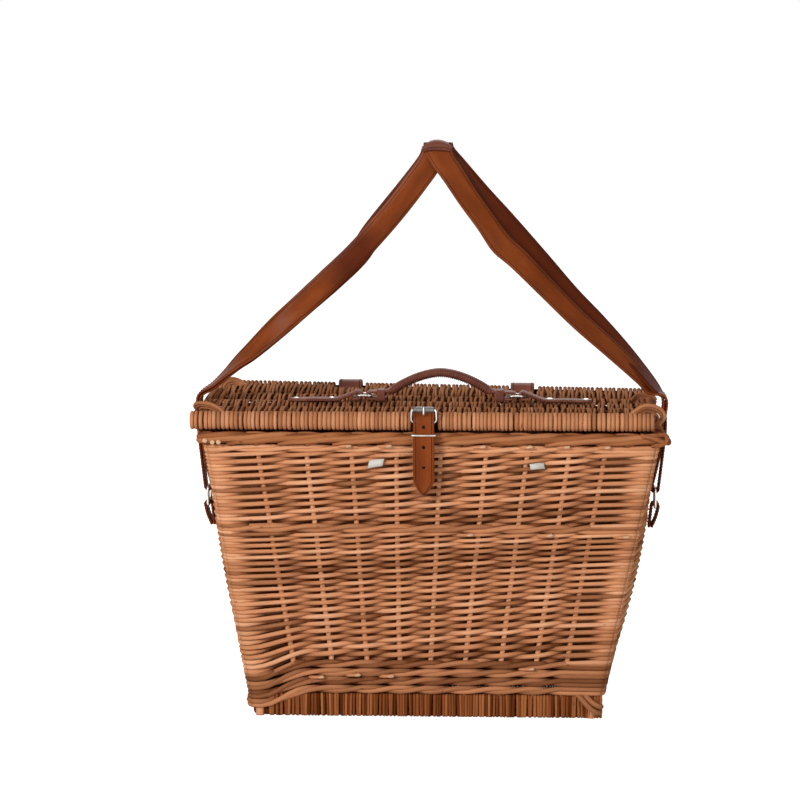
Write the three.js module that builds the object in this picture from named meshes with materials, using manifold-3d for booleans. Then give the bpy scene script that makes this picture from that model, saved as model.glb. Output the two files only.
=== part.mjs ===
// Wicker picnic basket with a hinged lid, a leather clasp, a handle and a shoulder strap.
// Millimetres, +Z up, front towards -Y, +X to the right seen from the front.
// The origin is the centre of the underside.
import * as THREE from 'three';
import { mergeVertices } from 'three/addons/utils/BufferGeometryUtils.js';
import Module from 'manifold-3d';

const wasm = await Module();
wasm.setup();

// Clearances
const gap = 0.3; // between pieces that touch on the real basket
const turnClearance = 0.6; // between a wire and the leather that loops round it
const overrun = 2; // how far a cutting shape runs past what it cuts

// Heights of the basket's bands, from the ground up
const baseEdgeHeight = 24;
const lowerWaleHeight = 35;
const lowerWeaveHeight = 131;
const midWaleHeight = 9.5;
const upperWeaveHeight = 72.5;
const upperWaleHeight = 8;
const rimHeight = 13;

// Plan of the basket
const footHalfWidth = 179;
const footHalfDepth = 103;
const topHalfWidth = 229;
const topHalfDepth = 136;
const sideBelly = 12; // how far the ends swell outwards at their middle
const wallThickness = 11;
const waleStand = 1.5; // how far a wale stands proud of the weave
const postRadius = 10.5;
const postInset = 9.5;
const baseEdgeInset = 3; // from the foot of the walls
const baseEdgeThickness = 12;
const baseThickness = 12;
const rimOverhangX = 5; // past the top of the walls
const rimOverhangY = 4;
const rimThickness = 15;
const edgeChamfer = 3;

// Weave of the front wall. Each rod passes in front of one stake and behind the next.
const stakeFootZ = 65;
const stakeHeadZ = 269;
const stakeFeet = [-134.7, -96.3, -61.1, -27.9, 4.2, 39.2, 75.3, 110.8, 141.3];
const stakeHeads = [-171.5, -123.2, -78.2, -33.9, 10, 54.9, 95.7, 137.3, 172.6];
const weaveRelief = 3.6; // how far a rod stands proud of the stakes beside it
const waleRelief = 1.8; // depth of the grooves between the rods of a wale
const lowerRows = 38;
const upperRows = 20;
const lowerRowShrink = 0.7; // height of the top row of the lower weave, of its bottom row
const lowerWaleRods = 7;
const midWaleRods = 2;
const upperWaleRods = 2;

// Lid
const lidGap = 1;
const lidInset = 3; // from the ends of the rim
const lidShift = -4; // the lid sits a little to the left
const lidRodRadius = 9.5;
const lidPanelThickness = 12;
const lidStickCount = 5; // sticks that the lid's rods pass over and under
const lidStickSpacing = 48;
const lidRodPitch = 4.4; // between the rods that pass over one stick
const lidWeaveRelief = 2.8;
const lidLoopRadius = 3.5;
const lidLoopReachX = 38;
const lidLoopReachY = 42;
const notchClearance = 1;

// Leather hinge straps
const hingeX = 91.5;
const hingeWidth = 25;
const hingeLeather = 2.5;
const hingeClearance = 0.5;
const hingeInnerDrop = 20;
const hingeOuterDrop = 28;

// Clasp
const claspX = -1.8;
const billetWidth = 21;
const billetLeather = 2.2;
const billetClearance = 0.5;
const billetDrop = 72; // below the heel bar
const billetPoint = 14; // length of the pointed tip
const billetLean = 5; // how far the tip hangs back towards the wall
const billetTuck = 5; // how far the billet is tucked behind the lid's front stick
const holeRadius = 2;
const holePitch = 20;
const holeFirstDrop = 4; // first free hole, below the heel bar
const freeHoles = 3;
const buckleWire = 2;
const buckleHalfWidth = 13.2;
const heelBarStand = 3.6; // heel bar's centre, in front of the lid's front stick
const rollerStand = 6.4; // roller's centre, in front of the lid's front stick
const rollerRise = 13.2; // roller's centre above the heel bar
const rollerRadius = 2.7;
const rollerBore = 1.65;
const prongWidth = 3;
const prongThickness = 1.6;
const prongRing = 1.3;
const prongHoleRadius = 2.9;
const prongPast = 2.5; // how far the prong's point stands above the roller's centre
const chapeWidth = 19;
const chapeLeather = 1.6;
const chapeSlot = 4.2;
const chapeFrontDrop = 10.4;
const chapeBackDrop = 22;
const chapeRivetDrop = 17;
const keeperWire = 1.8;
const keeperHalfWidth = 12.7;
const keeperDrop = 12.1;

// Carrying handle
const handleX = 9.4;
const handleTabLength = 70;
const ringInnerReach = 71;
const handleRingSpan = 14;
const handleRingWire = 2.4;
const handleRingHalfWidth = 13;
const handleRingRise = 6.8; // above the lid's panel
const handleStrapWidth = 20;
const handleLeather = 2.4;
const handleTabPoint = 12;
const handleLoopSlack = 1.8;
const gripRise = 20; // apex above the rings
const gripWidth = 13;
const gripThickness = 9;
const gripSetback = 19; // from the rings to the padded part
const neckSetback = 13;
const handleKeeperLeather = 1.5;
const handleKeeperLength = 8;
const handleKeeperSetback = 10;
const rivetRadius = 3.6;
const rivetHeight = 1.4;
const rivetFromTip = 6;
const rivetSpacing = 37;

// Side fittings that hold the shoulder strap
const sideRingLowerStand = 5.8; // its lower bar's centre, out from the wall
const sideRingUpperStand = 4;
const sideRingBase = 203; // height of the ring's lower bar
const sideRingHeight = 19; // between the centres of its two bars
const sideRingWire = 3;
const sideRingHalfWidth = 15.5;
const sideTabWidth = 22;
const sideTabLeather = 2.4;
const sideTabDrop = 21;
const sideTabStand = 3.2;

// Shoulder strap
const strapWidth = 24;
const strapLeather = 2.2;
const strapLayerGap = 0.6;
const strapStand = 1.8; // clear of the rim
const strapFold = 2; // the strap bends forward or back this far above the lid
const strapFoldGap = 0.3;
const strapRise = 254.5; // from the bend to the line where the strands fold over
const strapApexX = 6; // the apex leans a little to the right
const strapNestGap = 0.6; // between the two loops where they fold over at the apex
const strapInnerFold = 2.1; // radius of the inner loop's fold
const strapPass = 4.1; // how far a front strand has passed the middle at the fold line
const strapSlopeShare = 0.72; // run to the side for each unit of rise at the apex
const apexKeeperHalfWidth = 13;
const apexKeeperLeather = 1.8;
const apexKeeperLeg = 2;

// Stations of one strand from the bend to the apex: shares of the half span and
// of the rise, and the strand's turn in degrees
const strapStationShares = [
  [1, 0, 0],
  [0.92, 0.042, 12],
  [0.84, 0.105, 24],
  [0.655, 0.27, 45],
  [0.42, 0.49, 66],
  [0.222, 0.705, 84],
  [0.112, 0.83, 90],
];

// Ends of white cotton tape caught in the weave, as [x, width, height, slant]
const tapeThickness = 0.8;
const tapeDrop = 12;
const tapes = [
  { name: 'tape_end_left', x: -55, width: 11, height: 9, slant: 5 },
  { name: 'tape_end_right', x: 105, width: 12, height: 7, slant: 3 },
];

// Shares
const rivetCrownShare = 0.8; // width of a rivet's crown, of its foot
const rivetShoulderShare = 0.7; // height of its shoulder, of its height
const billetTipShare = 0.25; // width of the billet's tip, of its width
const billetShoulderShares = [[0.5, 0.93], [0.85, 0.6]]; // run forwards and height left
const prongBendShares = [[0.2, 0.45], [1, 0.8]]; // run forwards and rise
const prongHoleShare = 0.45; // where the prong passes the billet, between its two bends
const tabRiseShares = [0.6, 0.8]; // where a handle tab lifts towards its ring
const tabTipShare = 0.5;
const paddedShare = 0.95; // of the grip's length that is padded

// Counts
const rodSides = 16;
const postSides = 12;
const bellySteps = 6;
const bendSteps = 8;
const loopSteps = 10;
const gripSteps = 12;
const strapSteps = 20;

// Sizes worked out from the ones above
const baseEdgeHalfWidth = footHalfWidth - baseEdgeInset;
const baseEdgeHalfDepth = footHalfDepth - baseEdgeInset;
const rimHalfWidth = topHalfWidth + rimOverhangX;
const rimHalfDepth = topHalfDepth + rimOverhangY;
const lidHalfWidth = rimHalfWidth - lidInset;
const lidHalfDepth = rimHalfDepth;
const ringOuterReach = ringInnerReach + handleRingSpan;
const gripHalfLength = ringInnerReach - gripSetback;
const neckReach = ringInnerReach - neckSetback;
const handleKeeperReach = ringInnerReach - handleKeeperSetback;
const handleTipReach = ringOuterReach + handleTabLength;
const rivetReaches = [handleTipReach - rivetFromTip, handleTipReach - rivetFromTip - rivetSpacing];

// Levels worked out from the heights
const lowerWaleTop = baseEdgeHeight + lowerWaleHeight;
const midWaleBase = lowerWaleTop + lowerWeaveHeight;
const midWaleTop = midWaleBase + midWaleHeight;
const upperWaleBase = midWaleTop + upperWeaveHeight;
const wallTop = upperWaleBase + upperWaleHeight;
const rimTop = wallTop + rimHeight;
const lidRodZ = rimTop + lidGap + lidRodRadius;
const lidTop = lidRodZ + lidRodRadius;
const panelTop = lidRodZ + lidPanelThickness / 2;
const lidRodY = lidHalfDepth - lidRodRadius;

// Finishes
const finish = (color, roughness, metalness) =>
  new THREE.MeshStandardMaterial({ color, roughness, metalness });
const willow = finish('#be8257', 0.6, 0);
const oldWillow = finish('#8a5a41', 0.65, 0);
const leather = finish('#84401c', 0.5, 0);
const steel = finish('#b9b6ae', 0.3, 1);
const darkSteel = finish('#5d5b5a', 0.4, 1);
const cotton = finish('#cfc9ba', 0.9, 0);

const basket = new THREE.Group();

function add(name, geometry, material) {
  const mesh = new THREE.Mesh(geometry, material);
  mesh.name = name;
  basket.add(mesh);
  return mesh;
}

const at = (x, y, z) => new THREE.Vector3(x, y, z);
const xAxis = at(1, 0, 0);
const yAxis = at(0, 1, 0);
const lerp = THREE.MathUtils.lerp;

// Closed body through rings of points. Every ring has the same even number of points.
// Both faces of a flat piece are split along matching diagonals, so that layers stay apart.
function loft(rings) {
  const count = rings[0].length;
  const points = rings.flat();
  const faces = [];
  for (let r = 0; r + 1 < rings.length; r += 1) {
    for (let k = 0; k < count; k += 1) {
      const a = r * count + k;
      const b = r * count + ((k + 1) % count);
      if (k < count / 2) faces.push([a, b, b + count], [a, b + count, a + count]);
      else faces.push([a, b, a + count], [b, b + count, a + count]);
    }
  }
  const last = (rings.length - 1) * count;
  for (let k = 0; k + 1 < count / 2; k += 1) {
    const quad = [k, k + 1, count - 2 - k, count - 1 - k];
    faces.push([quad[0], quad[2], quad[1]], [quad[0], quad[3], quad[2]]);
    faces.push([last + quad[0], last + quad[1], last + quad[2]]);
    faces.push([last + quad[0], last + quad[2], last + quad[3]]);
  }
  let volume = 0;
  for (const [a, b, c] of faces) {
    volume += points[a].dot(points[b].clone().cross(points[c]));
  }
  const index = faces.flatMap(([a, b, c]) => (volume > 0 ? [a, b, c] : [a, c, b]));
  const geometry = new THREE.BufferGeometry();
  const numbers = points.flatMap((p) => [p.x, p.y, p.z]);
  geometry.setAttribute('position', new THREE.Float32BufferAttribute(numbers, 3));
  geometry.setIndex(index);
  return geometry;
}

// Ring of points at a place: a rectangle, or an oval of a given number of sides.
function ringAt(place, across, through, width, thickness, sides) {
  const points = [];
  const corner = Math.SQRT2;
  for (let k = 0; k < sides; k += 1) {
    const turn = ((k + 0.5) / sides) * Math.PI * 2;
    const grow = sides === 4 ? corner : 1;
    points.push(
      place
        .clone()
        .addScaledVector(across, (Math.cos(turn) * width * grow) / 2)
        .addScaledVector(through, (Math.sin(turn) * thickness * grow) / 2),
    );
  }
  return points;
}

function tangents(path) {
  return path.map((p, i) => {
    const before = path[Math.max(i - 1, 0)];
    const after = path[Math.min(i + 1, path.length - 1)];
    return after.clone().sub(before).normalize();
  });
}

// Flat strap that follows a path, with its width along a fixed direction.
// The width and thickness may vary along the path.
function strap(path, across, width, thickness, sides = 4) {
  const runs = tangents(path);
  const value = (size, i) => (typeof size === 'function' ? size(i) : size);
  return loft(
    path.map((p, i) => {
      const through = runs[i].clone().cross(across).normalize();
      return ringAt(p, across, through, value(width, i), value(thickness, i), sides);
    }),
  );
}

// Bar with chamfered edges between two points on a line along X or Y.
function chamferedBar(from, to, width, height, chamfer) {
  const across = to.clone().sub(from).normalize().cross(at(0, 0, 1));
  const w = width / 2;
  const h = height / 2;
  const outline = [
    [-w, chamfer - h], [chamfer - w, -h], [w - chamfer, -h], [w, chamfer - h],
    [w, h - chamfer], [w - chamfer, h], [chamfer - w, h], [-w, h - chamfer],
  ];
  const ring = (p) => outline.map(([u, v]) => p.clone().addScaledVector(across, u).add(at(0, 0, v)));
  return loft([ring(from), ring(to)]);
}

function toSolid(geometry) {
  const plain = geometry.clone();
  plain.deleteAttribute('normal');
  plain.deleteAttribute('uv');
  const merged = mergeVertices(plain);
  return new wasm.Manifold(
    new wasm.Mesh({
      numProp: 3,
      vertProperties: new Float32Array(merged.attributes.position.array),
      triVerts: new Uint32Array(merged.index.array),
    }),
  );
}

function toGeometry(solid) {
  const mesh = solid.getMesh();
  const geometry = new THREE.BufferGeometry();
  geometry.setAttribute('position', new THREE.BufferAttribute(mesh.vertProperties, 3));
  geometry.setIndex(new THREE.BufferAttribute(mesh.triVerts, 1));
  return geometry;
}

const cut = (geometry, tools) =>
  toGeometry(tools.reduce((solid, tool) => solid.subtract(toSolid(tool)), toSolid(geometry)));
const join = (first, second) => toGeometry(toSolid(first).add(toSolid(second)));

// Points on an arc in a plane given by two directions, angles in degrees.
function arc(centre, u, v, radius, fromDegrees, toDegrees, steps) {
  const points = [];
  for (let k = 0; k <= steps; k += 1) {
    const turn = THREE.MathUtils.degToRad(lerp(fromDegrees, toDegrees, k / steps));
    points.push(
      centre
        .clone()
        .addScaledVector(u, Math.cos(turn) * radius)
        .addScaledVector(v, Math.sin(turn) * radius),
    );
  }
  return points;
}

// Rectangular wire link, drawn in its own plane, with its middle at the origin.
function link(halfWidth, halfHeight, wire) {
  const shape = new THREE.Shape();
  shape.moveTo(-halfWidth, -halfHeight);
  shape.lineTo(halfWidth, -halfHeight);
  shape.lineTo(halfWidth, halfHeight);
  shape.lineTo(-halfWidth, halfHeight);
  shape.closePath();
  const hole = new THREE.Path();
  hole.moveTo(wire - halfWidth, wire - halfHeight);
  hole.lineTo(wire - halfWidth, halfHeight - wire);
  hole.lineTo(halfWidth - wire, halfHeight - wire);
  hole.lineTo(halfWidth - wire, wire - halfHeight);
  hole.closePath();
  shape.holes.push(hole);
  const geometry = new THREE.ExtrudeGeometry(shape, { depth: wire, bevelEnabled: false });
  geometry.translate(0, 0, -wire / 2);
  return geometry;
}

function rivet(name) {
  const profile = [
    new THREE.Vector2(0, 0),
    new THREE.Vector2(rivetRadius, 0),
    new THREE.Vector2(rivetRadius * rivetCrownShare, rivetHeight * rivetShoulderShare),
    new THREE.Vector2(0, rivetHeight),
  ];
  return add(name, new THREE.LatheGeometry(profile, postSides), steel);
}

// Basket wall
const wallShare = (z) => (z - baseEdgeHeight) / (wallTop - baseEdgeHeight);
const halfWidthAt = (z) => lerp(footHalfWidth, topHalfWidth, wallShare(z));
const halfDepthAt = (z) => lerp(footHalfDepth, topHalfDepth, wallShare(z));
const bellyAt = (z, ySharePlace) =>
  sideBelly * Math.sin(Math.PI * wallShare(z)) * (1 - ySharePlace * ySharePlace);
const cornerInset = postInset + postRadius + gap;

// Levels of a wall's rings, each with how far the surface lies behind the wales
const halfStep = waleStand / 2;
const wallLevels = [
  [baseEdgeHeight + gap, 0],
  [lowerWaleTop - halfStep, 0],
  [lowerWaleTop + halfStep, waleStand],
  [midWaleBase - halfStep, waleStand],
  [midWaleBase + halfStep, 0],
  [midWaleTop - halfStep, 0],
  [midWaleTop + halfStep, waleStand],
  [upperWaleBase - halfStep, waleStand],
  [upperWaleBase + halfStep, 0],
  [wallTop - gap, 0],
];

// Closed slab with a face made of a grid of points and a plain back through four corners.
// The rows run upwards and the columns to the right, as seen from the face.
function reliefSlab(grid, back) {
  const across = grid[0].length;
  const points = [...grid.flat(), ...back];
  const faces = [];
  const id = (r, c) => r * across + c;
  const proud = (r, c) => grid[r][c].proud;
  for (let r = 0; r + 1 < grid.length; r += 1) {
    for (let c = 0; c + 1 < across; c += 1) {
      const [a, b, d, e] = [id(r, c), id(r, c + 1), id(r + 1, c + 1), id(r + 1, c)];
      if (proud(r, c) || proud(r + 1, c + 1)) faces.push([a, b, d], [a, d, e]);
      else faces.push([a, b, e], [b, d, e]);
    }
  }
  const [lowLeft, lowRight, highRight, highLeft] = back.map((_, k) => grid.length * across + k);
  const top = grid.length - 1;
  const rim = (edge, from, to) => {
    for (let k = 0; k + 1 < edge.length; k += 1) {
      faces.push([edge[k + 1], edge[k], k < edge.length / 2 ? from : to]);
      if (k < edge.length / 2 && k + 1 >= edge.length / 2) faces.push([edge[k + 1], from, to]);
    }
  };
  rim(grid[0].map((_, c) => id(0, c)), lowLeft, lowRight);
  rim(grid.map((_, r) => id(r, across - 1)), lowRight, highRight);
  rim(grid[0].map((_, c) => id(top, across - 1 - c)), highRight, highLeft);
  rim(grid.map((_, r) => id(top - r, 0)), highLeft, lowLeft);
  faces.push([lowLeft, highRight, lowRight], [lowLeft, highLeft, highRight]);
  const geometry = new THREE.BufferGeometry();
  const numbers = points.flatMap((p) => [p.x, p.y, p.z]);
  geometry.setAttribute('position', new THREE.Float32BufferAttribute(numbers, 3));
  geometry.setIndex(faces.flat());
  return geometry;
}

// Heights of the lines across a wale: a crest for each rod and a groove between each two
function waleLines(from, to, rods) {
  const lines = [];
  for (let k = 0; k <= rods * 2; k += 1) {
    const z = lerp(from, to, k / (rods * 2));
    lines.push({ z, back: () => (k % 2 === 0 ? waleRelief : 0) });
  }
  return lines;
}

// Lines along the middles of a weave's rows
function weaveLines(from, to, rows, shrink) {
  const heights = Array.from({ length: rows }, (_, k) => lerp(1, shrink, k / (rows - 1)));
  const total = heights.reduce((sum, h) => sum + h, 0);
  let z = from;
  return heights.map((h, row) => {
    const pitch = (h / total) * (to - from);
    z += pitch;
    const back = (stake) => {
      const passes = stake === null || row % 2 === 1;
      return waleStand + (passes ? 0 : weaveRelief);
    };
    return { z: z - pitch / 2, back, woven: true };
  });
}

const stakesAt = (z) =>
  stakeFeet.map((foot, k) => lerp(foot, stakeHeads[k], (z - stakeFootZ) / (stakeHeadZ - stakeFootZ)));

function frontWall(name) {
  const lines = [
    ...waleLines(baseEdgeHeight + gap, lowerWaleTop, lowerWaleRods),
    ...weaveLines(lowerWaleTop, midWaleBase, lowerRows, lowerRowShrink),
    ...waleLines(midWaleBase, midWaleTop, midWaleRods),
    ...weaveLines(midWaleTop, upperWaleBase, upperRows, 1),
    ...waleLines(upperWaleBase, wallTop - gap, upperWaleRods),
  ];
  const grid = lines.map(({ z, back, woven }) => {
    const end = halfWidthAt(z) - cornerInset;
    const stakes = stakesAt(z);
    const place = (x, inset) => Object.assign(at(x, inset - halfDepthAt(z), z), { proud: inset <= waleStand });
    const row = [place(-end, back(null))];
    stakes.forEach((x, k) => {
      row.push(place(x, back(k)));
      if (k + 1 < stakes.length) {
        row.push(place((x + stakes[k + 1]) / 2, woven ? waleStand + weaveRelief : back(null)));
      }
    });
    row.push(place(end, back(null)));
    return row;
  });
  const corner = (side, z) => at(side * (halfWidthAt(z) - cornerInset), wallThickness - halfDepthAt(z), z);
  const [low, high] = [lines[0].z, lines[lines.length - 1].z];
  add(name, reliefSlab(grid, [corner(-1, low), corner(1, low), corner(1, high), corner(-1, high)]), willow);
}

// How far the front weave lies behind its proud rods, at a place between two stakes
function weaveHollowAt(x, z) {
  const stakes = stakesAt(z);
  const k = stakes.findIndex((stake) => stake > x);
  const half = (stakes[k] - stakes[k - 1]) / 2;
  return (weaveRelief * Math.min(x - stakes[k - 1], stakes[k] - x)) / half;
}

function longWall(name, side) {
  const rings = wallLevels.map(([z, back]) => {
    const x = halfWidthAt(z) - cornerInset;
    const outer = halfDepthAt(z) - back;
    const inner = halfDepthAt(z) - wallThickness;
    return [at(-x, side * outer, z), at(x, side * outer, z), at(x, side * inner, z), at(-x, side * inner, z)];
  });
  add(name, loft(rings), willow);
}

function endWall(name, side) {
  const rings = wallLevels.map(([z, back]) => {
    const yEnd = halfDepthAt(z) - cornerInset;
    const shares = Array.from({ length: bellySteps + 1 }, (_, k) => (2 * k) / bellySteps - 1);
    const face = (inset) =>
      shares.map((s) => at(side * (halfWidthAt(z) + bellyAt(z, s) - inset), s * yEnd, z));
    return [...face(back), ...face(wallThickness).reverse()];
  });
  add(name, loft(rings), willow);
}

function cornerPost(name, sideX, sideY) {
  const rings = [baseEdgeHeight + gap, wallTop - gap].map((z) => {
    const centre = at(sideX * (halfWidthAt(z) - postInset), sideY * (halfDepthAt(z) - postInset), z);
    return ringAt(centre, xAxis, yAxis, postRadius * 2, postRadius * 2, postSides);
  });
  add(name, loft(rings), willow);
}

// A frame of four bars that lies flat: two long ones at full width, two short ones between them
function barFrame(names, halfWidth, halfDepth, thickness, bottom, height, material) {
  const z = bottom + height / 2;
  const y = halfDepth - thickness / 2;
  const x = halfWidth - thickness / 2;
  const yEnd = halfDepth - thickness - gap;
  const bar = (name, from, to) =>
    add(name, chamferedBar(from, to, thickness, height, edgeChamfer), material);
  bar(names[0], at(-halfWidth, -y, z), at(halfWidth, -y, z));
  bar(names[1], at(-halfWidth, y, z), at(halfWidth, y, z));
  bar(names[2], at(-x, -yEnd, z), at(-x, yEnd, z));
  bar(names[3], at(x, -yEnd, z), at(x, yEnd, z));
}

function buildBasket() {
  barFrame(
    ['base_edge_front', 'base_edge_back', 'base_edge_left', 'base_edge_right'],
    baseEdgeHalfWidth, baseEdgeHalfDepth, baseEdgeThickness, 0, baseEdgeHeight, oldWillow,
  );
  const baseWidth = (baseEdgeHalfWidth - baseEdgeThickness - gap) * 2;
  const baseDepth = (baseEdgeHalfDepth - baseEdgeThickness - gap) * 2;
  add('base_panel', new THREE.BoxGeometry(baseWidth, baseDepth, baseThickness), willow)
    .position.set(0, 0, baseThickness / 2);
  frontWall('wall_front');
  longWall('wall_back', 1);
  endWall('wall_left', -1);
  endWall('wall_right', 1);
  for (const [nameX, sideX] of [['left', -1], ['right', 1]]) {
    for (const [nameY, sideY] of [['front', -1], ['back', 1]]) {
      cornerPost(`corner_post_${nameY}_${nameX}`, sideX, sideY);
    }
  }
  barFrame(
    ['rim_front', 'rim_back', 'rim_left', 'rim_right'],
    rimHalfWidth, rimHalfDepth, rimThickness, wallTop, rimHeight, willow,
  );
}

// Lid
function lidRod(name, from, to) {
  const length = to.distanceTo(from);
  const rod = new THREE.CylinderGeometry(lidRodRadius, lidRodRadius, length, rodSides);
  const mesh = add(name, rod, oldWillow);
  mesh.position.copy(from).add(to).multiplyScalar(0.5);
  mesh.quaternion.setFromUnitVectors(yAxis, to.clone().sub(from).normalize());
}

// Depth of a notch that clears a strap looped round a lid stick
const notchReach = (looseness, thickness) => looseness + thickness + notchClearance - gap;

function lidPanel() {
  const right = lidShift + lidHalfWidth - lidRodRadius * 2 - gap;
  const left = lidShift - lidHalfWidth + lidRodRadius * 2 + gap;
  const edge = lidHalfDepth - lidRodRadius * 2 - gap;
  const lines = [-edge];
  for (let k = 0; k < lidStickCount; k += 1) {
    const y = (k - (lidStickCount - 1) / 2) * lidStickSpacing;
    if (k > 0) lines.push(y - lidStickSpacing / 2);
    lines.push(y);
  }
  lines.push(edge);
  const steps = Math.round((right - left) / lidRodPitch) * 2;
  const grid = lines.map((y, line) =>
    Array.from({ length: steps + 1 }, (_, k) => {
      const stick = (line - 1) / 2;
      const proud = Number.isInteger(stick) && line < lines.length - 1 && (k + stick) % 2 === 0;
      const z = panelTop - (proud ? 0 : lidWeaveRelief);
      return Object.assign(at(lerp(left, right, k / steps), y, z), { proud });
    }),
  );
  const bottom = panelTop - lidPanelThickness;
  const back = [at(left, -edge, bottom), at(right, -edge, bottom), at(right, edge, bottom), at(left, edge, bottom)];
  const notch = (centre, width, side, depth) => {
    const box = new THREE.BoxGeometry(width + notchClearance * 2, depth * 2, lidPanelThickness * 2);
    return box.translate(centre, side * edge, panelTop);
  };
  const hingeReach = notchReach(hingeClearance, hingeLeather);
  const panel = cut(reliefSlab(grid, back), [
    notch(claspX, billetWidth, -1, notchReach(billetClearance, billetLeather)),
    notch(hingeX, hingeWidth, 1, hingeReach),
    notch(-hingeX, hingeWidth, 1, hingeReach),
  ]);
  add('lid_panel', panel, oldWillow);
}

function lidCornerLoop(name, sideX, sideY) {
  const z = lidTop + gap + lidLoopRadius;
  const centre = at(
    lidShift + sideX * (lidHalfWidth - lidRodRadius - lidLoopReachX),
    sideY * (lidHalfDepth - lidRodRadius - lidLoopReachY),
    z,
  );
  const u = at(sideX * lidLoopReachX, 0, 0);
  const v = at(0, sideY * lidLoopReachY, 0);
  const path = arc(centre, u, v, 1, 0, 90, loopSteps);
  const curve = new THREE.CatmullRomCurve3(path);
  const section = new THREE.Shape();
  section.absarc(0, 0, lidLoopRadius, 0, Math.PI * 2);
  const options = { steps: loopSteps, extrudePath: curve, bevelEnabled: false, curveSegments: 4 };
  add(name, new THREE.ExtrudeGeometry(section, options), willow);
}

function buildLid() {
  const left = lidShift - lidHalfWidth;
  const right = lidShift + lidHalfWidth;
  const yEnd = lidHalfDepth - lidRodRadius * 2 - gap;
  lidRod('lid_front_stick', at(left, -lidRodY, lidRodZ), at(right, -lidRodY, lidRodZ));
  lidRod('lid_rear_stick', at(left, lidRodY, lidRodZ), at(right, lidRodY, lidRodZ));
  const xEnd = lidHalfWidth - lidRodRadius;
  lidRod('lid_left_stick', at(lidShift - xEnd, -yEnd, lidRodZ), at(lidShift - xEnd, yEnd, lidRodZ));
  lidRod('lid_right_stick', at(lidShift + xEnd, -yEnd, lidRodZ), at(lidShift + xEnd, yEnd, lidRodZ));
  lidPanel();
  for (const [nameX, sideX] of [['left', -1], ['right', 1]]) {
    for (const [nameY, sideY] of [['front', -1], ['back', 1]]) {
      lidCornerLoop(`lid_corner_loop_${nameY}_${nameX}`, sideX, sideY);
    }
  }
}

// Hinge straps: each loops over the lid's rear stick and down both sides of the rim
function hingeStrap(name, x) {
  const radius = lidRodRadius + hingeClearance + hingeLeather / 2;
  const centre = at(x, lidRodY, lidRodZ);
  const over = arc(centre, at(0, -1, 0), at(0, 0, 1), radius, 0, 180, bendSteps);
  const path = [
    at(x, lidRodY - radius, lidRodZ - hingeInnerDrop),
    ...over,
    at(x, lidRodY + radius, lidRodZ - hingeOuterDrop),
  ];
  add(name, strap(path, xAxis, hingeWidth, hingeLeather), leather);
}

// Clasp: places in the Y-Z plane through the clasp's middle
const claspFront = -lidHalfDepth;
const heelBar = at(claspX, claspFront - heelBarStand, lidRodZ);
const roller = at(claspX, claspFront - rollerStand, lidRodZ + rollerRise);
const wireReach = (wire) => (wire * Math.SQRT2) / 2 + turnClearance / 2;
const chapeRadius = wireReach(buckleWire) + chapeLeather / 2;
const chapeFace = heelBar.y - chapeRadius - chapeLeather / 2; // front of the chape
const billetY = chapeFace - gap * 2 - billetLeather / 2;
const billetBend = lidRodRadius + billetClearance + billetLeather / 2;

function billetPath() {
  const rod = at(claspX, -lidRodY, lidRodZ);
  const over = arc(rod, yAxis, at(0, 0, 1), billetBend, 0, 90, bendSteps);
  const low = heelBar.z - billetDrop;
  const shoulder = billetShoulderShares.map(([run, height]) =>
    at(claspX, lerp(-lidRodY, billetY, run), lerp(lidRodZ, over.at(-1).z, height)));
  return [
    at(claspX, -lidRodY + billetBend, lidRodZ - billetTuck),
    ...over,
    ...shoulder,
    at(claspX, billetY, heelBar.z),
    at(claspX, billetY, heelBar.z - keeperDrop * 2),
    at(claspX, billetY + billetLean, low + billetPoint),
    at(claspX, billetY + billetLean, low),
  ];
}

// The prong leaves the heel bar, passes through the billet and lies on the roller
function prongPath() {
  const front = roller.y - rollerRadius - turnClearance - prongThickness / 2;
  return [
    at(claspX, heelBar.y, heelBar.z + wireReach(buckleWire) + prongRing / 2),
    ...prongBendShares.map(([run, rise]) =>
      at(claspX, lerp(heelBar.y, front, run), lerp(heelBar.z, roller.z, rise))),
    at(claspX, front, roller.z + prongPast),
  ];
}

function pin(place, direction, radius, length) {
  const geometry = new THREE.CylinderGeometry(radius, radius, length, postSides);
  geometry.applyQuaternion(new THREE.Quaternion().setFromUnitVectors(yAxis, direction));
  geometry.translate(place.x, place.y, place.z);
  return geometry;
}

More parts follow.
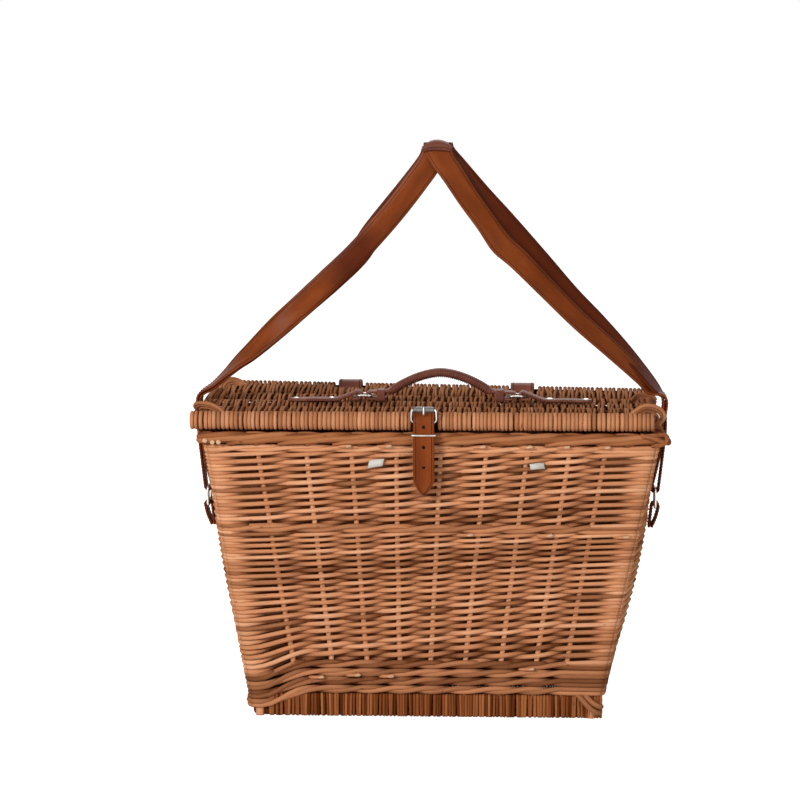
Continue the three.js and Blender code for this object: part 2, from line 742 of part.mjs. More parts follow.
function buildClasp() {
  const path = billetPath();
  const tip = path.length - 1;
  const width = (i) => (i === tip ? billetWidth * billetTipShare : billetWidth);
  const billet = strap(path, xAxis, width, billetLeather);
  const prong = prongPath();
  const through = prong[2].clone().sub(prong[1]);
  const length = through.length() + overrun * 2;
  const middle = prong[1].clone().lerp(prong[2], prongHoleShare);
  const tools = [pin(middle, through.normalize(), prongHoleRadius, length)];
  for (let k = 0; k < freeHoles; k += 1) {
    const z = heelBar.z - holeFirstDrop - k * holePitch;
    tools.push(pin(at(claspX, billetY, z), yAxis, holeRadius, (billetLean + billetLeather) * 2));
  }
  add('clasp_strap', cut(billet, tools), leather);

  const lean = roller.clone().sub(heelBar);
  const frame = link(buckleHalfWidth, (lean.length() + buckleWire) / 2, buckleWire);
  const buckle = add('buckle_frame', frame, steel);
  buckle.position.copy(heelBar).lerp(roller, 0.5);
  buckle.quaternion.setFromUnitVectors(yAxis, lean.clone().normalize());

  const rollerHalf = buckleHalfWidth - buckleWire - turnClearance;
  const tube = [
    new THREE.Vector2(rollerBore, -rollerHalf),
    new THREE.Vector2(rollerRadius, -rollerHalf),
    new THREE.Vector2(rollerRadius, rollerHalf),
    new THREE.Vector2(rollerBore, rollerHalf),
    new THREE.Vector2(rollerBore, -rollerHalf),
  ];
  const sleeve = add('buckle_roller', new THREE.LatheGeometry(tube, rodSides), darkSteel);
  sleeve.position.copy(roller);
  sleeve.rotation.z = Math.PI / 2;

  const eye = new THREE.Shape();
  eye.absarc(0, 0, wireReach(buckleWire) + prongRing, 0, Math.PI * 2);
  const bore = new THREE.Path();
  bore.absarc(0, 0, wireReach(buckleWire), 0, Math.PI * 2, true);
  eye.holes.push(bore);
  const options = { depth: prongWidth, bevelEnabled: false, curveSegments: postSides };
  const eyeGeometry = new THREE.ExtrudeGeometry(eye, options);
  eyeGeometry.translate(0, 0, -prongWidth / 2);
  eyeGeometry.rotateY(Math.PI / 2);
  eyeGeometry.translate(heelBar.x, heelBar.y, heelBar.z);
  const tongue = strap(prong, xAxis, prongWidth, prongThickness);
  add('buckle_prong', join(eyeGeometry, tongue), steel);

  const chapePath = [
    at(claspX, heelBar.y - chapeRadius, heelBar.z - chapeFrontDrop),
    ...arc(heelBar, at(0, -1, 0), at(0, 0, 1), chapeRadius, 0, 180, bendSteps),
    at(claspX, heelBar.y + chapeRadius, heelBar.z - chapeBackDrop),
  ];
  const slotLow = wireReach(buckleWire) + prongRing + gap;
  const slotHigh = chapeRadius + overrun;
  const slot = new THREE.BoxGeometry(chapeSlot, rimThickness, slotLow + slotHigh);
  slot.translate(heelBar.x, heelBar.y, heelBar.z + (slotHigh - slotLow) / 2);
  add('buckle_chape', cut(strap(chapePath, xAxis, chapeWidth, chapeLeather), [slot]), leather);

  const chapeRivet = rivet('chape_rivet');
  const rivetY = heelBar.y + chapeRadius - chapeLeather / 2 - gap;
  chapeRivet.position.set(claspX, rivetY, heelBar.z - chapeRivetDrop);
  chapeRivet.rotation.x = Math.PI;

  const keeperBack = heelBar.y - chapeRadius;
  const keeperFront = billetY - billetLeather / 2 - gap - keeperWire / 2;
  const keeperHalf = (keeperBack - keeperFront + keeperWire) / 2;
  add('strap_keeper', link(keeperHalfWidth, keeperHalf, keeperWire), steel)
    .position.set(claspX, (keeperBack + keeperFront) / 2, heelBar.z - keeperDrop);
}

// Handle: places are measured from its middle, on the lid's panel
const handleRingZ = panelTop + handleRingRise;
const handleLoop = wireReach(handleRingWire) + turnClearance / 2 + handleLeather / 2;
const handlePlace = (side, reach, z) => at(handleX + side * reach, 0, z);

function handleTab(name, side) {
  const z = panelTop + gap + handleLeather / 2;
  const bar = handlePlace(side, ringOuterReach, handleRingZ);
  const inward = at(-side, 0, 0);
  const path = [
    handlePlace(side, handleTipReach, z),
    handlePlace(side, handleTipReach - handleTabPoint, z),
    handlePlace(side, rivetReaches[1] - rivetRadius * 2, z),
    handlePlace(
      side,
      lerp(rivetReaches[1], ringOuterReach, tabRiseShares[0]),
      lerp(z, handleRingZ, tabRiseShares[1]),
    ),
    ...arc(bar, inward, at(0, 0, 1), handleLoop, 90, -90, bendSteps),
    handlePlace(side, ringOuterReach + handleLoop, handleRingZ - handleLoop),
  ];
  const width = (i) => (i === 0 ? handleStrapWidth * tabTipShare : handleStrapWidth);
  add(name, strap(path, yAxis, width, handleLeather), leather);
}

// Height of the padded grip's middle line over its rings
const gripLift = (share) => gripRise * (1 - share * share);

function gripPath() {
  const half = [];
  const bar = handlePlace(1, ringInnerReach, handleRingZ);
  const loop = arc(bar, xAxis, at(0, 0, 1), handleLoop, -90, 90, bendSteps);
  half.push(handlePlace(1, neckReach - handleLoopSlack, handleRingZ - handleLoop));
  for (const p of loop) {
    const out = Math.max(p.x - bar.x, 0) / handleLoop;
    half.push(p.clone().add(at(out * handleLoopSlack, 0, 0)));
  }
  half.push(handlePlace(1, neckReach, handleRingZ + handleLoop));
  for (let k = 0; k < gripSteps / 2; k += 1) {
    const share = 1 - (2 * k) / gripSteps;
    half.push(handlePlace(1, gripHalfLength * share, handleRingZ + handleLoop + gripLift(share)));
  }
  const mirrored = half.map((p) => at(handleX * 2 - p.x, 0, p.z)).reverse();
  return [...half, handlePlace(1, 0, handleRingZ + handleLoop + gripRise), ...mirrored];
}

function buildHandle() {
  const sides = [['left', -1], ['right', 1]];
  for (const [word, side] of sides) {
    handleTab(`handle_tab_${word}`, side);
    rivetReaches.forEach((reach, k) => {
      const place = handlePlace(side, reach, panelTop + handleLeather + gap * 2);
      const head = rivet(`handle_rivet_${word}_${k + 1}`);
      head.position.copy(place);
      head.rotation.x = Math.PI / 2;
    });
    const middle = (ringOuterReach + ringInnerReach) / 2;
    const half = (ringOuterReach - ringInnerReach + handleRingWire) / 2;
    add(`handle_ring_${word}`, link(half, handleRingHalfWidth, handleRingWire), steel)
      .position.copy(handlePlace(side, middle, handleRingZ));
  }
  const path = gripPath();
  const padded = (p) => Math.abs(p.x - handleX) < gripHalfLength * paddedShare && p.z > handleRingZ;
  const width = (i) => (padded(path[i]) ? gripWidth : handleStrapWidth);
  const thickness = (i) => (padded(path[i]) ? gripThickness : handleLeather);
  add('handle_grip', strap(path, yAxis, width, thickness, 8), leather);
  for (const [word, side] of sides) {
    const inside = handleLoop + handleLeather / 2 + gap;
    const halfHeight = inside + handleKeeperLeather;
    const halfWidth = handleStrapWidth / 2 + gap + handleKeeperLeather;
    const band = link(halfWidth, halfHeight, handleKeeperLeather);
    band.scale(1, 1, handleKeeperLength / handleKeeperLeather);
    band.rotateX(Math.PI / 2);
    band.rotateZ(Math.PI / 2);
    add(`handle_keeper_${word}`, band, leather)
      .position.copy(handlePlace(side, handleKeeperReach, handleRingZ));
  }
}

// Side fittings
const strapInnerX = rimHalfWidth + strapStand + strapLeather / 2;
const strapOuterX = strapInnerX + strapLeather + strapLayerGap;
const foldZ = lidTop + strapFold;
const sideLoop = (thickness) => wireReach(sideRingWire) + turnClearance / 2 + thickness / 2;
const wallFaceAt = (z) => halfWidthAt(z) + bellyAt(z, 0);
const sideRingX = Math.max(
  wallFaceAt(sideRingBase) + sideRingLowerStand,
  wallFaceAt(sideRingBase + sideRingHeight) + sideRingUpperStand,
);

// A place on the side tab, below the ring's lower bar and out from the wall
function sideTabPlace(side, drop, out) {
  const z = sideRingBase - drop;
  return at(side * (wallFaceAt(z) + gap + sideTabLeather / 2 + out), 0, z);
}

function sideTab(name, rivetName, side) {
  const radius = sideLoop(sideTabLeather);
  const bar = at(side * sideRingX, 0, sideRingBase);
  const over = arc(bar, at(-side, 0, 0), at(0, 0, 1), radius, 0, 180, bendSteps);
  const layer = sideTabLeather + gap;
  const middle = sideTabPlace(side, sideTabDrop / 2, layer + sideTabStand);
  const tip = sideTabPlace(side, sideTabDrop, layer);
  const path = [
    sideTabPlace(side, sideTabDrop, 0),
    sideTabPlace(side, sideTabDrop / 2, 0),
    ...over,
    middle,
    tip,
  ];
  add(name, strap(path, yAxis, sideTabWidth, sideTabLeather), leather);

  const out = middle.clone().sub(tip).normalize().cross(yAxis).multiplyScalar(-side);
  const head = rivet(rivetName);
  head.quaternion.setFromUnitVectors(yAxis, out);
  head.position.copy(middle).lerp(tip, 0.5).addScaledVector(out, sideTabLeather / 2 + gap);
}

function strapLeg(name, side) {
  const radius = sideLoop(strapLeather);
  const bar = at(side * sideRingX, 0, sideRingBase + sideRingHeight);
  const under = arc(bar, at(side, 0, 0), at(0, 0, 1), radius, 0, -180, bendSteps);
  const top = foldZ - strapFoldGap;
  const path = [
    at(side * strapOuterX, 0, top),
    at(side * strapOuterX, 0, wallTop),
    ...under,
    at(side * strapInnerX, 0, wallTop),
    at(side * strapInnerX, 0, top),
  ];
  add(name, strap(path, yAxis, strapWidth, strapLeather), leather);
}

const foldLineZ = foldZ + strapRise;
const halfLayer = (strapLeather + strapLayerGap) / 2;
const strapHalfSpan = (strapInnerX + strapOuterX) / 2;
const foldHalfLine = (strapWidth / 2) * Math.hypot(1, strapSlopeShare);
const strapOuterFold = strapInnerFold + strapLeather + strapNestGap;
const lean = (p) => p.add(at(strapApexX * ((p.z - foldZ) / strapRise), 0, 0));

// Edges of a strand on the right, as curves through its stations
function strandCurves(lead) {
  const places = strapStationShares.map(([x, z]) =>
    at(x * strapHalfSpan, 0, foldZ + strapFoldGap + z * (strapRise - strapFoldGap)));
  places.push(at(lead, 0, foldLineZ));
  const runs = tangents(places);
  runs[0] = at(0, 0, 1);
  const outer = [];
  const inner = [];
  strapStationShares.forEach(([, , degrees], i) => {
    const turn = THREE.MathUtils.degToRad(degrees);
    const level = yAxis.clone().cross(runs[i]).normalize();
    const across = yAxis.clone().multiplyScalar(Math.cos(turn)).addScaledVector(level, Math.sin(turn));
    outer.push(places[i].clone().addScaledVector(across, strapWidth / 2));
    inner.push(places[i].clone().addScaledVector(across, -strapWidth / 2));
  });
  outer.push(at(lead + foldHalfLine, 0, foldLineZ));
  inner.push(at(lead - foldHalfLine, 0, foldLineZ));
  return [outer, inner].map((edge) => new THREE.CatmullRomCurve3(edge));
}

// Rings of one strand from the bend up to the fold line at the apex
function strandRings(side, isFront, foldRadius, lead) {
  const [outerCurve, innerCurve] = strandCurves(lead);
  const outer = outerCurve.getPoints(strapSteps);
  const inner = innerCurve.getPoints(strapSteps);
  const runs = tangents(outer.map((p, i) => p.clone().lerp(inner[i], 0.5)));
  runs[0] = at(0, 0, 1);
  const sign = isFront ? 1 : -1;
  return outer.map((edge, i) => {
    const across = edge.clone().sub(inner[i]).normalize();
    const through = across.cross(runs[i]).normalize();
    const layer = sign * lerp(halfLayer, foldRadius, (edge.z + inner[i].z - 2 * foldZ) / (2 * strapRise));
    const place = (p, way) => {
      const q = p.clone().addScaledVector(through, layer + (way * sign * strapLeather) / 2);
      return lean(at(q.x * side, q.y, q.z));
    };
    const [a, b] = isFront ? [edge, inner[i]] : [inner[i], edge];
    return [place(a, -1), place(b, -1), place(b, 1), place(a, 1)];
  });
}

// One closed loop's upper part: up the front on one side, over, and down the back on the other
function strapBand(name, frontSide, foldRadius) {
  const passed = strapSlopeShare * Math.PI * foldRadius + strapPass;
  const front = strandRings(frontSide, true, foldRadius, -strapPass);
  const rear = strandRings(-frontSide, false, foldRadius, passed).reverse();
  const over = [];
  for (let k = 1; k < bendSteps; k += 1) {
    const turn = (Math.PI * k) / bendSteps;
    const middle = -frontSide * (strapPass + strapSlopeShare * foldRadius * turn);
    const place = (x, way) => {
      const radius = foldRadius + (way * strapLeather) / 2;
      return at(x + strapApexX, -Math.cos(turn) * radius, foldLineZ + Math.sin(turn) * radius);
    };
    const a = middle + frontSide * foldHalfLine;
    const b = middle - frontSide * foldHalfLine;
    over.push([place(a, -1), place(b, -1), place(b, 1), place(a, 1)]);
  }
  add(name, loft([...front, ...over, ...rear]), leather);
}

function apexKeeper() {
  const radius = strapOuterFold + strapLeather / 2 + gap + apexKeeperLeather / 2;
  const centre = at(strapApexX, 0, foldLineZ);
  const over = arc(centre, at(0, -1, 0), at(0, 0, 1), radius, 0, 180, loopSteps);
  const path = [
    at(strapApexX, -radius, foldLineZ - apexKeeperLeg),
    ...over,
    at(strapApexX, radius, foldLineZ - apexKeeperLeg),
  ];
  add('strap_apex_keeper', strap(path, xAxis, apexKeeperHalfWidth * 2, apexKeeperLeather), leather);
}

function buildSides() {
  for (const [word, side] of [['left', -1], ['right', 1]]) {
    sideTab(`side_tab_${word}`, `side_rivet_${word}`, side);
    const ring = link(sideRingHalfWidth, (sideRingHeight + sideRingWire) / 2, sideRingWire);
    ring.rotateX(Math.PI / 2);
    ring.rotateZ(Math.PI / 2);
    add(`side_ring_${word}`, ring, steel)
      .position.set(side * sideRingX, 0, sideRingBase + sideRingHeight / 2);
    strapLeg(`strap_leg_${word}`, side);
  }
}

function buildShoulderStrap() {
  strapBand('shoulder_strap_right_front', 1, strapOuterFold);
  strapBand('shoulder_strap_left_front', -1, strapInnerFold);
  apexKeeper();
}

function tapeEnd({ name, x, width, height, slant }) {
  const z = upperWaleBase - tapeDrop;
  const reach = (width + slant) / 2;
  const hollow = Math.min(weaveHollowAt(x - reach, z), weaveHollowAt(x + reach, z));
  const y = -(halfDepthAt(z) - waleStand - hollow) - gap - tapeThickness;
  const shape = new THREE.Shape();
  shape.moveTo(-width / 2 - slant / 2, -height / 2);
  shape.lineTo(width / 2 - slant / 2, -height / 2);
  shape.lineTo(width / 2 + slant / 2, height / 2);
  shape.lineTo(-width / 2 + slant / 2, height / 2);
  shape.closePath();
  const lean = Math.atan2(topHalfDepth - footHalfDepth, wallTop - baseEdgeHeight);
  const tape = new THREE.ExtrudeGeometry(shape, { depth: tapeThickness, bevelEnabled: false });
  const mesh = add(name, tape, cotton);
  mesh.position.set(x, y + tapeThickness, z);
  mesh.rotation.x = Math.PI / 2 + lean;
}

buildBasket();
buildLid();
hingeStrap('hinge_strap_left', -hingeX);
hingeStrap('hinge_strap_right', hingeX);
buildClasp();
buildHandle();
buildSides();
buildShoulderStrap();
tapes.forEach(tapeEnd);

export default basket;
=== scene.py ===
"""Looks for the wicker picnic basket. Lengths are in millimetres until a mesh is made."""
import math

import bpy
import numpy as np
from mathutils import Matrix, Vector


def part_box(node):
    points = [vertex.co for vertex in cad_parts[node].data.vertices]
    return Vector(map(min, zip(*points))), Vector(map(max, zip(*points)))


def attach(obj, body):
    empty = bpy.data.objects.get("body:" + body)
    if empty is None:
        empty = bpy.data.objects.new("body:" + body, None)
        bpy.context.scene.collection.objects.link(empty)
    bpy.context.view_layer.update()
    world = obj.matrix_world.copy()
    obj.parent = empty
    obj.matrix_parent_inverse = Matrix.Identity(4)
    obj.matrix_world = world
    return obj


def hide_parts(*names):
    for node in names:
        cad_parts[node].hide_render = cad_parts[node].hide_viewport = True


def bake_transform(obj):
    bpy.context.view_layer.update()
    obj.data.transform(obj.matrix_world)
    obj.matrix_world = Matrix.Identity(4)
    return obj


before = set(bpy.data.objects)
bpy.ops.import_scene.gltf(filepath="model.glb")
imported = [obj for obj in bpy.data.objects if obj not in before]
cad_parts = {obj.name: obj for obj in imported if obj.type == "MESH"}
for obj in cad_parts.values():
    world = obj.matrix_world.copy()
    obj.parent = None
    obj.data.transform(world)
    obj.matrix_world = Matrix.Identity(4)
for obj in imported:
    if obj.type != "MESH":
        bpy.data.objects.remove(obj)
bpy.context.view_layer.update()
rng = np.random.default_rng(11)
MM = 0.001
X, Y, Z = np.eye(3)

# Heights of the bands and half sizes of the basket, as in the CAD model, but for a foot that is 2 mm wider
BASE_TOP, LOWER_WALE_TOP, MID_WALE_BASE, MID_WALE_TOP = 24.0, 59.0, 190.0, 199.5
UPPER_WALE_BASE, WALL_TOP = 272.0, 280.0
BASE, FOOT, TOP = (176.0, 100.0), (181.0, 103.0), (229.0, 136.0)
RIM, LID = (234.0, 140.0), (231.0, 140.0)
BELLY, CORNER = 12.0, 14.0
LID_X, LID_ROD, LID_Z = -4.0, 9.5, 303.5
LID_EDGE = LID[1] - LID_ROD
LID_TOP = LID_Z + LID_ROD
PANEL_TOP = LID_Z + 6.0


def add_object(name, data):
    obj = bpy.data.objects.new(name, data)
    bpy.context.scene.collection.objects.link(obj)
    return obj


def camera():
    data = bpy.data.cameras.new("camera")
    data.sensor_width = 36
    data.lens = 151.6
    data.clip_end = 50
    cam = add_object("camera", data)
    cam.location = (0.140, -3.440, 0.6645)
    cam.rotation_euler = (math.radians(90 - 5.86), 0, math.radians(2.87))
    bpy.context.scene.camera = cam


camera()


# Mesh making
class Build:
    """Collects swept bodies and makes one object of them."""

    def __init__(self):
        self.verts, self.tones, self.polys, self.uvs, self.mats = [], [], [], [], []
        self.count = 0

    def sweep(self, centres, across, normal, outline, tone, closed=False, mat=0):
        """Sweeps an outline of (across, normal) offsets, which may change from ring to ring."""
        centres = np.asarray(centres, float)
        n, k = len(centres), np.shape(outline)[-2]
        outline = np.broadcast_to(np.asarray(outline, float), (n, k, 2))
        rings = (centres[:, None] + outline[:, :, :1] * np.asarray(across)[:, None]
                 + outline[:, :, 1:] * np.asarray(normal)[:, None])
        steps = np.linalg.norm(np.diff(centres, axis=0), axis=1)
        u = np.concatenate([[0], np.cumsum(steps)]) + rng.uniform(0, 900)
        u_next = u + np.append(steps, 1)
        sides = np.linalg.norm(np.roll(outline[0], -1, 0) - outline[0], axis=1)
        v = np.concatenate([[0], np.cumsum(sides)])
        for i in range(n if closed else n - 1):
            here = self.count + i * k
            ahead = self.count + (i + 1) % n * k
            for s in range(k):
                t = (s + 1) % k
                self.polys.append((here + s, here + t, ahead + t, ahead + s))
                self.uvs += [(u[i], v[s]), (u[i], v[s + 1]), (u_next[i], v[s + 1]), (u_next[i], v[s])]
                self.mats.append(mat)
        for first, order in () if closed else ((0, -1), (n - 1, 1)):
            self.polys.append(tuple(self.count + first * k + s for s in range(k))[::order])
            self.uvs += [tuple(outline[first][s] + u[first]) for s in range(k)][::order]
            self.mats.append(mat)
        self.verts.append(rings.reshape(-1, 3))
        tone = np.asarray(tone, float)
        tone = tone if tone.ndim == 2 else np.broadcast_to(tone, (n,))[:, None]
        self.tones.append(np.broadcast_to(tone, (n, k)).ravel())
        self.count += n * k

    def tube(self, path, radius, ref, sides, tone, closed=False, mat=0):
        path = np.asarray(path, float)
        tan = unit(np.roll(path, -1, 0) - np.roll(path, 1, 0) if closed else np.gradient(path, axis=0))
        one = square_to(ref, tan)
        turn = (np.arange(sides) + 0.5) * 2 * math.pi / sides
        circle = np.stack([np.cos(turn), np.sin(turn)], 1)
        radius = np.broadcast_to(np.asarray(radius, float), (len(path),))
        self.sweep(path, one, np.cross(tan, one), radius[:, None, None] * circle, tone, closed, mat)

    def make(self, name, body, look, replaces=(), blend=None):
        """Makes the object from a look, which is its materials and its slot. The slot is not used."""
        materials, slot = look
        mesh = bpy.data.meshes.new(name)
        mesh.from_pydata((np.concatenate(self.verts) * MM).tolist(), [], self.polys)
        mesh.polygons.foreach_set("use_smooth", np.ones(len(self.polys), bool))
        mesh.polygons.foreach_set("material_index", np.array(self.mats, np.int32))
        layer = mesh.uv_layers.new(name="rod")
        layer.data.foreach_set("uv", (np.array(self.uvs, np.float32) * MM).ravel())
        tone = mesh.attributes.new("tone", "FLOAT", "POINT")
        tone.data.foreach_set("value", np.concatenate(self.tones).astype(np.float32))
        for m in materials:
            mesh.materials.append(m)
        mesh.update()
        obj = add_object(name, mesh)
        if blend:
            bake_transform(obj)
        else:
            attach(obj, body)
        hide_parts(*replaces)
        return obj


def unit(v):
    v = np.asarray(v, float)
    return v / np.maximum(np.linalg.norm(v, axis=-1, keepdims=True), 1e-9)


def square_to(ref, tan):
    """The direction of ref, turned square to each tangent."""
    ref = np.broadcast_to(ref, tan.shape)
    return unit(ref - (ref * tan).sum(1, keepdims=True) * tan)


def lengths(path):
    """Length along a path at each of its points."""
    return np.concatenate([[0], np.cumsum(np.linalg.norm(np.diff(path, axis=0), axis=1))])


def at_lengths(at, s, values):
    """Vectors read at given lengths along a path."""
    return np.stack([np.interp(at, s, values[:, k]) for k in range(3)], -1)


def ease(t):
    t = np.clip(t, 0, 1)
    return t * t * (3 - 2 * t)


def smooth(points, per):
    """Points on a curve through the given ones (Catmull-Rom)."""
    p = np.asarray(points, float)
    p = np.concatenate([[2 * p[0] - p[1]], p, [2 * p[-1] - p[-2]]])
    out = []
    for a, b, c, d in zip(p, p[1:], p[2:], p[3:]):
        for t in np.arange(per) / per:
            out.append(0.5 * (2 * b + (c - a) * t + (2 * a - 5 * b + 4 * c - d) * t * t
                              + (3 * b - a - 3 * c + d) * t ** 3))
    return np.array(out + [p[-2]])


def in_plane(x, points, per):
    """A curve through (y, z) points in the plane at x."""
    return smooth([[x, y, z] for y, z in points], per)


def half_turn(start, end, count):
    """Cosines and sines of a turn from one angle to another, in degrees."""
    a = np.radians(np.linspace(start, end, count))
    return np.cos(a), np.sin(a)


def between(at, knots):
    """Which gap between knots a place lies in, and how far along it."""
    i = np.clip(np.searchsorted(knots, at, side="right") - 1, 0, len(knots) - 2)
    return i, np.clip((at - knots[i]) / (knots[i + 1] - knots[i]), 0, 1)


def through_knots(at, knots, values):
    """Values at places between knots, level at each knot."""
    knots, values = np.asarray(knots), np.asarray(values)
    i, t = between(at, knots)
    return values[i] + (values[i + 1] - values[i]) * (1 - np.cos(math.pi * t)) / 2


# Materials
def grey(v):
    return (v, v, v)


class Paint:
    """A material, and what colours and roughens it."""

    def __init__(self, name):
        self.material = bpy.data.materials.new(name)
        self.material.use_nodes = True
        self.nodes = self.material.node_tree.nodes
        self.link = self.material.node_tree.links.new
        self.nodes.clear()
        out = self.node("OutputMaterial")
        self.shader = self.node("BsdfPrincipled")
        self.link(self.shader.outputs[0], out.inputs[0])

    def node(self, kind, **inputs):
        n = self.nodes.new("ShaderNode" + kind)
        for name, value in inputs.items():
            n.inputs[name].default_value = value
        return n

    def set(self, name, value):
        self.shader.inputs[name].default_value = value

    def uv(self, u, v):
        uv = self.node("UVMap")
        uv.uv_map = "rod"
        mapping = self.node("Mapping", Scale=(u, v, 1))
        self.link(uv.outputs[0], mapping.inputs[0])
        return mapping.outputs[0]

    def noise(self, u, v, detail=2.0, roughness=0.5):
        vector = self.uv(u, v)
        n = self.node("TexNoise", Scale=1, Detail=detail, Roughness=roughness)
        self.link(vector, n.inputs["Vector"])
        return n.outputs["Fac"]

    def tone(self):
        n = self.node("Attribute")
        n.attribute_name = "tone"
        return n.outputs["Fac"]

    def ramp(self, value, *stops):
        r = self.node("ValToRGB")
        for e, (place, colour) in zip(r.color_ramp.elements, stops):
            e.position = place
            e.color = (*colour, 1)
        for place, colour in stops[2:]:
            r.color_ramp.elements.new(place).color = (*colour, 1)
        self.link(value, r.inputs[0])
        return r.outputs[0]

    def tint(self, colour, value, *stops):
        """Multiplies a colour by a ramp."""
        shade = self.ramp(value, *stops)
        m = self.node("Mix")
        m.data_type = "RGBA"
        m.blend_type = "MULTIPLY"
        m.inputs[0].default_value = 1.0
        self.link(colour, m.inputs[6])
        self.link(shade, m.inputs[7])
        return m.outputs[2]

    def finish(self, colour, rough, low, high, height, strength, distance):
        """Joins the colour, a roughness that goes with one noise, and a bump that goes with a height."""
        self.link(colour, self.shader.inputs["Base Color"])
        steps = self.ramp(rough, (low[0], grey(low[1])), (high[0], grey(high[1])))
        self.link(steps, self.shader.inputs["Roughness"])
        self.bump(height, strength, distance)
        return self.material

    def bump(self, height, strength, distance):
        b = self.node("Bump", Strength=strength, Distance=distance)
        self.link(height, b.inputs["Height"])
        self.link(b.outputs[0], self.shader.inputs["Normal"])


def willow(name, dark, mid, light, roughness):
    """Peeled rods: a tone for each rod, which the weave lowers as painted shade where a rod lies deep,
    streaks along it, and a few dark buds.
    """
    p = Paint(name)
    colour = p.ramp(p.tone(), (0, dark), (0.45, mid), (1, light))
    streaks = p.noise(25, 700, 3, 0.6)
    patches = p.noise(18, 60)
    buds = p.noise(60, 160, 1)
    colour = p.tint(colour, streaks, (0.25, grey(0.74)), (0.7, grey(1.12)))
    colour = p.tint(colour, patches, (0.3, (0.89, 0.87, 0.86)), (0.65, (1.02, 1.03, 1.04)))
    colour = p.tint(colour, buds, (0.74, grey(1)), (0.8, (0.5, 0.4, 0.36)))
    p.set("Specular IOR Level", 0)
    return p.finish(colour, streaks, (0.2, roughness + 0.1), (0.8, roughness - 0.06), streaks, 0.35, 0.0004)


FLESH_AND_SHADOW_TINT = (0.50, 0.36, 0.25)
FACES = np.array([[0.0] * 7 + [1.0] * 7])


def leather(name, dark, mid, light, roughness, coat=0.006):
    """Waxed leather: cloudy colour, fine grain, a little gloss. Its flesh side has tone 0 and is darker; on
    the grain side a lower tone is painted shadow, tinted the same way.
    """
    p = Paint(name)
    cloud = p.noise(22, 60, 3)
    grain = p.noise(1400, 1400, 3, 0.6)
    pores = p.node("TexVoronoi", Scale=1)
    p.link(p.uv(900, 900), pores.inputs["Vector"])
    colour = p.ramp(cloud, (0.3, dark), (0.52, mid), (0.75, light))
    colour = p.tint(colour, grain, (0.35, grey(0.86)), (0.65, grey(1.08)))
    # The tone also darkens the grain side towards the flesh colour as painted shadow.
    colour = p.tint(colour, p.tone(), (0.2, FLESH_AND_SHADOW_TINT), (0.5, grey(1)))
    p.set("Coat Weight", coat)
    p.set("Coat Roughness", 0.3)
    p.set("Specular IOR Level", 0.08)
    height = p.node("Math")
    height.operation = "ADD"
    p.link(grain, height.inputs[0])
    p.link(pores.outputs["Distance"], height.inputs[1])
    height = height.outputs[0]
    return p.finish(colour, grain, (0.3, roughness + 0.08), (0.7, roughness - 0.05), height, 0.22, 0.0003)


def metal(name, low, high, roughness):
    p = Paint(name)
    tarnish = p.noise(120, 120, 3)
    scratches = p.noise(90, 2500)
    p.set("Metallic", 1)
    colour = p.ramp(tarnish, (0.3, low), (0.65, high))
    low, high = (0.3, roughness - 0.07), (0.7, roughness + 0.1)
    return p.finish(colour, scratches, low, high, scratches, 0.1, 0.0002)


def cotton(name, low, high):
    p = Paint(name)
    threads = p.node("TexWave", Scale=1, Distortion=1.5)
    p.link(p.uv(700, 700), threads.inputs["Vector"])
    p.link(p.ramp(threads.outputs["Fac"], (0.2, low), (0.8, high)), p.shader.inputs["Base Color"])
    p.set("Roughness", 0.9)
    p.bump(threads.outputs["Fac"], 0.5, 0.0003)
    return p.material


WILLOW = willow("willow", (0.135, 0.042, 0.015), (0.585, 0.252, 0.118), (0.85, 0.47, 0.275), 0.40)
RIMROD = willow("willow_rim", (0.17, 0.054, 0.019), (0.37, 0.139, 0.055), (0.49, 0.215, 0.10), 0.42)
BORDER = willow("willow_border", (0.20, 0.068, 0.027), (0.50, 0.213, 0.099), (0.69, 0.35, 0.19), 0.42)
# The lid's top: the same willow as its front wraps, made darker as painted shade, with a near-black low end
# as painted shade in the gaps.
LID_TOP_SHADED = willow("willow_lid_shaded", (0.030, 0.010, 0.004), (0.28, 0.102, 0.044), (0.46, 0.205, 0.10), 0.6)
# The base's willow: darker for staining, and darker still as painted shade along the foot.
FOOTING_STAIN_AND_SHADE = willow("willow_base_stain_and_shade", (0.08, 0.020, 0.005), (0.235, 0.070, 0.021), (0.385, 0.143, 0.050), 0.55)
PITH = willow("willow_cut", (0.55, 0.33, 0.19), (0.66, 0.43, 0.27), (0.75, 0.53, 0.36), 0.7)
STRAP = leather("leather", (0.135, 0.027, 0.004), (0.185, 0.038, 0.006), (0.235, 0.053, 0.010), 0.40)
DARK_STRAP = leather("leather_dark", (0.12, 0.039, 0.025), (0.185, 0.062, 0.042), (0.25, 0.090, 0.062), 0.45)
THREAD = leather("stitching", (0.03, 0.008, 0.004), (0.045, 0.012, 0.006), (0.06, 0.018, 0.009), 0.7, 0.0)
# Near-black, for the plugs in the billet's holes: painted shade.
HOLE_SHADE = leather("hole_shade", (0.006, 0.003, 0.002), (0.01, 0.004, 0.003), (0.014, 0.006, 0.004), 0.8, 0.0)
NICKEL = metal("nickel", (0.42, 0.40, 0.36), (0.66, 0.64, 0.59), 0.26)
# The roller: the buckle's steel, made darker as painted shade.
SHADED_ROLLER = metal("roller", (0.10, 0.095, 0.09), (0.19, 0.185, 0.18), 0.38)
TAPE = cotton("cotton_tape", (0.50, 0.49, 0.44), (0.72, 0.71, 0.66))

# Looks: the materials of a piece, and its slot
TAN_LEATHER = ([STRAP, THREAD], "leather")
DARK_LEATHER = ([DARK_STRAP, THREAD], "leather")
STEEL = ([NICKEL], "steel")


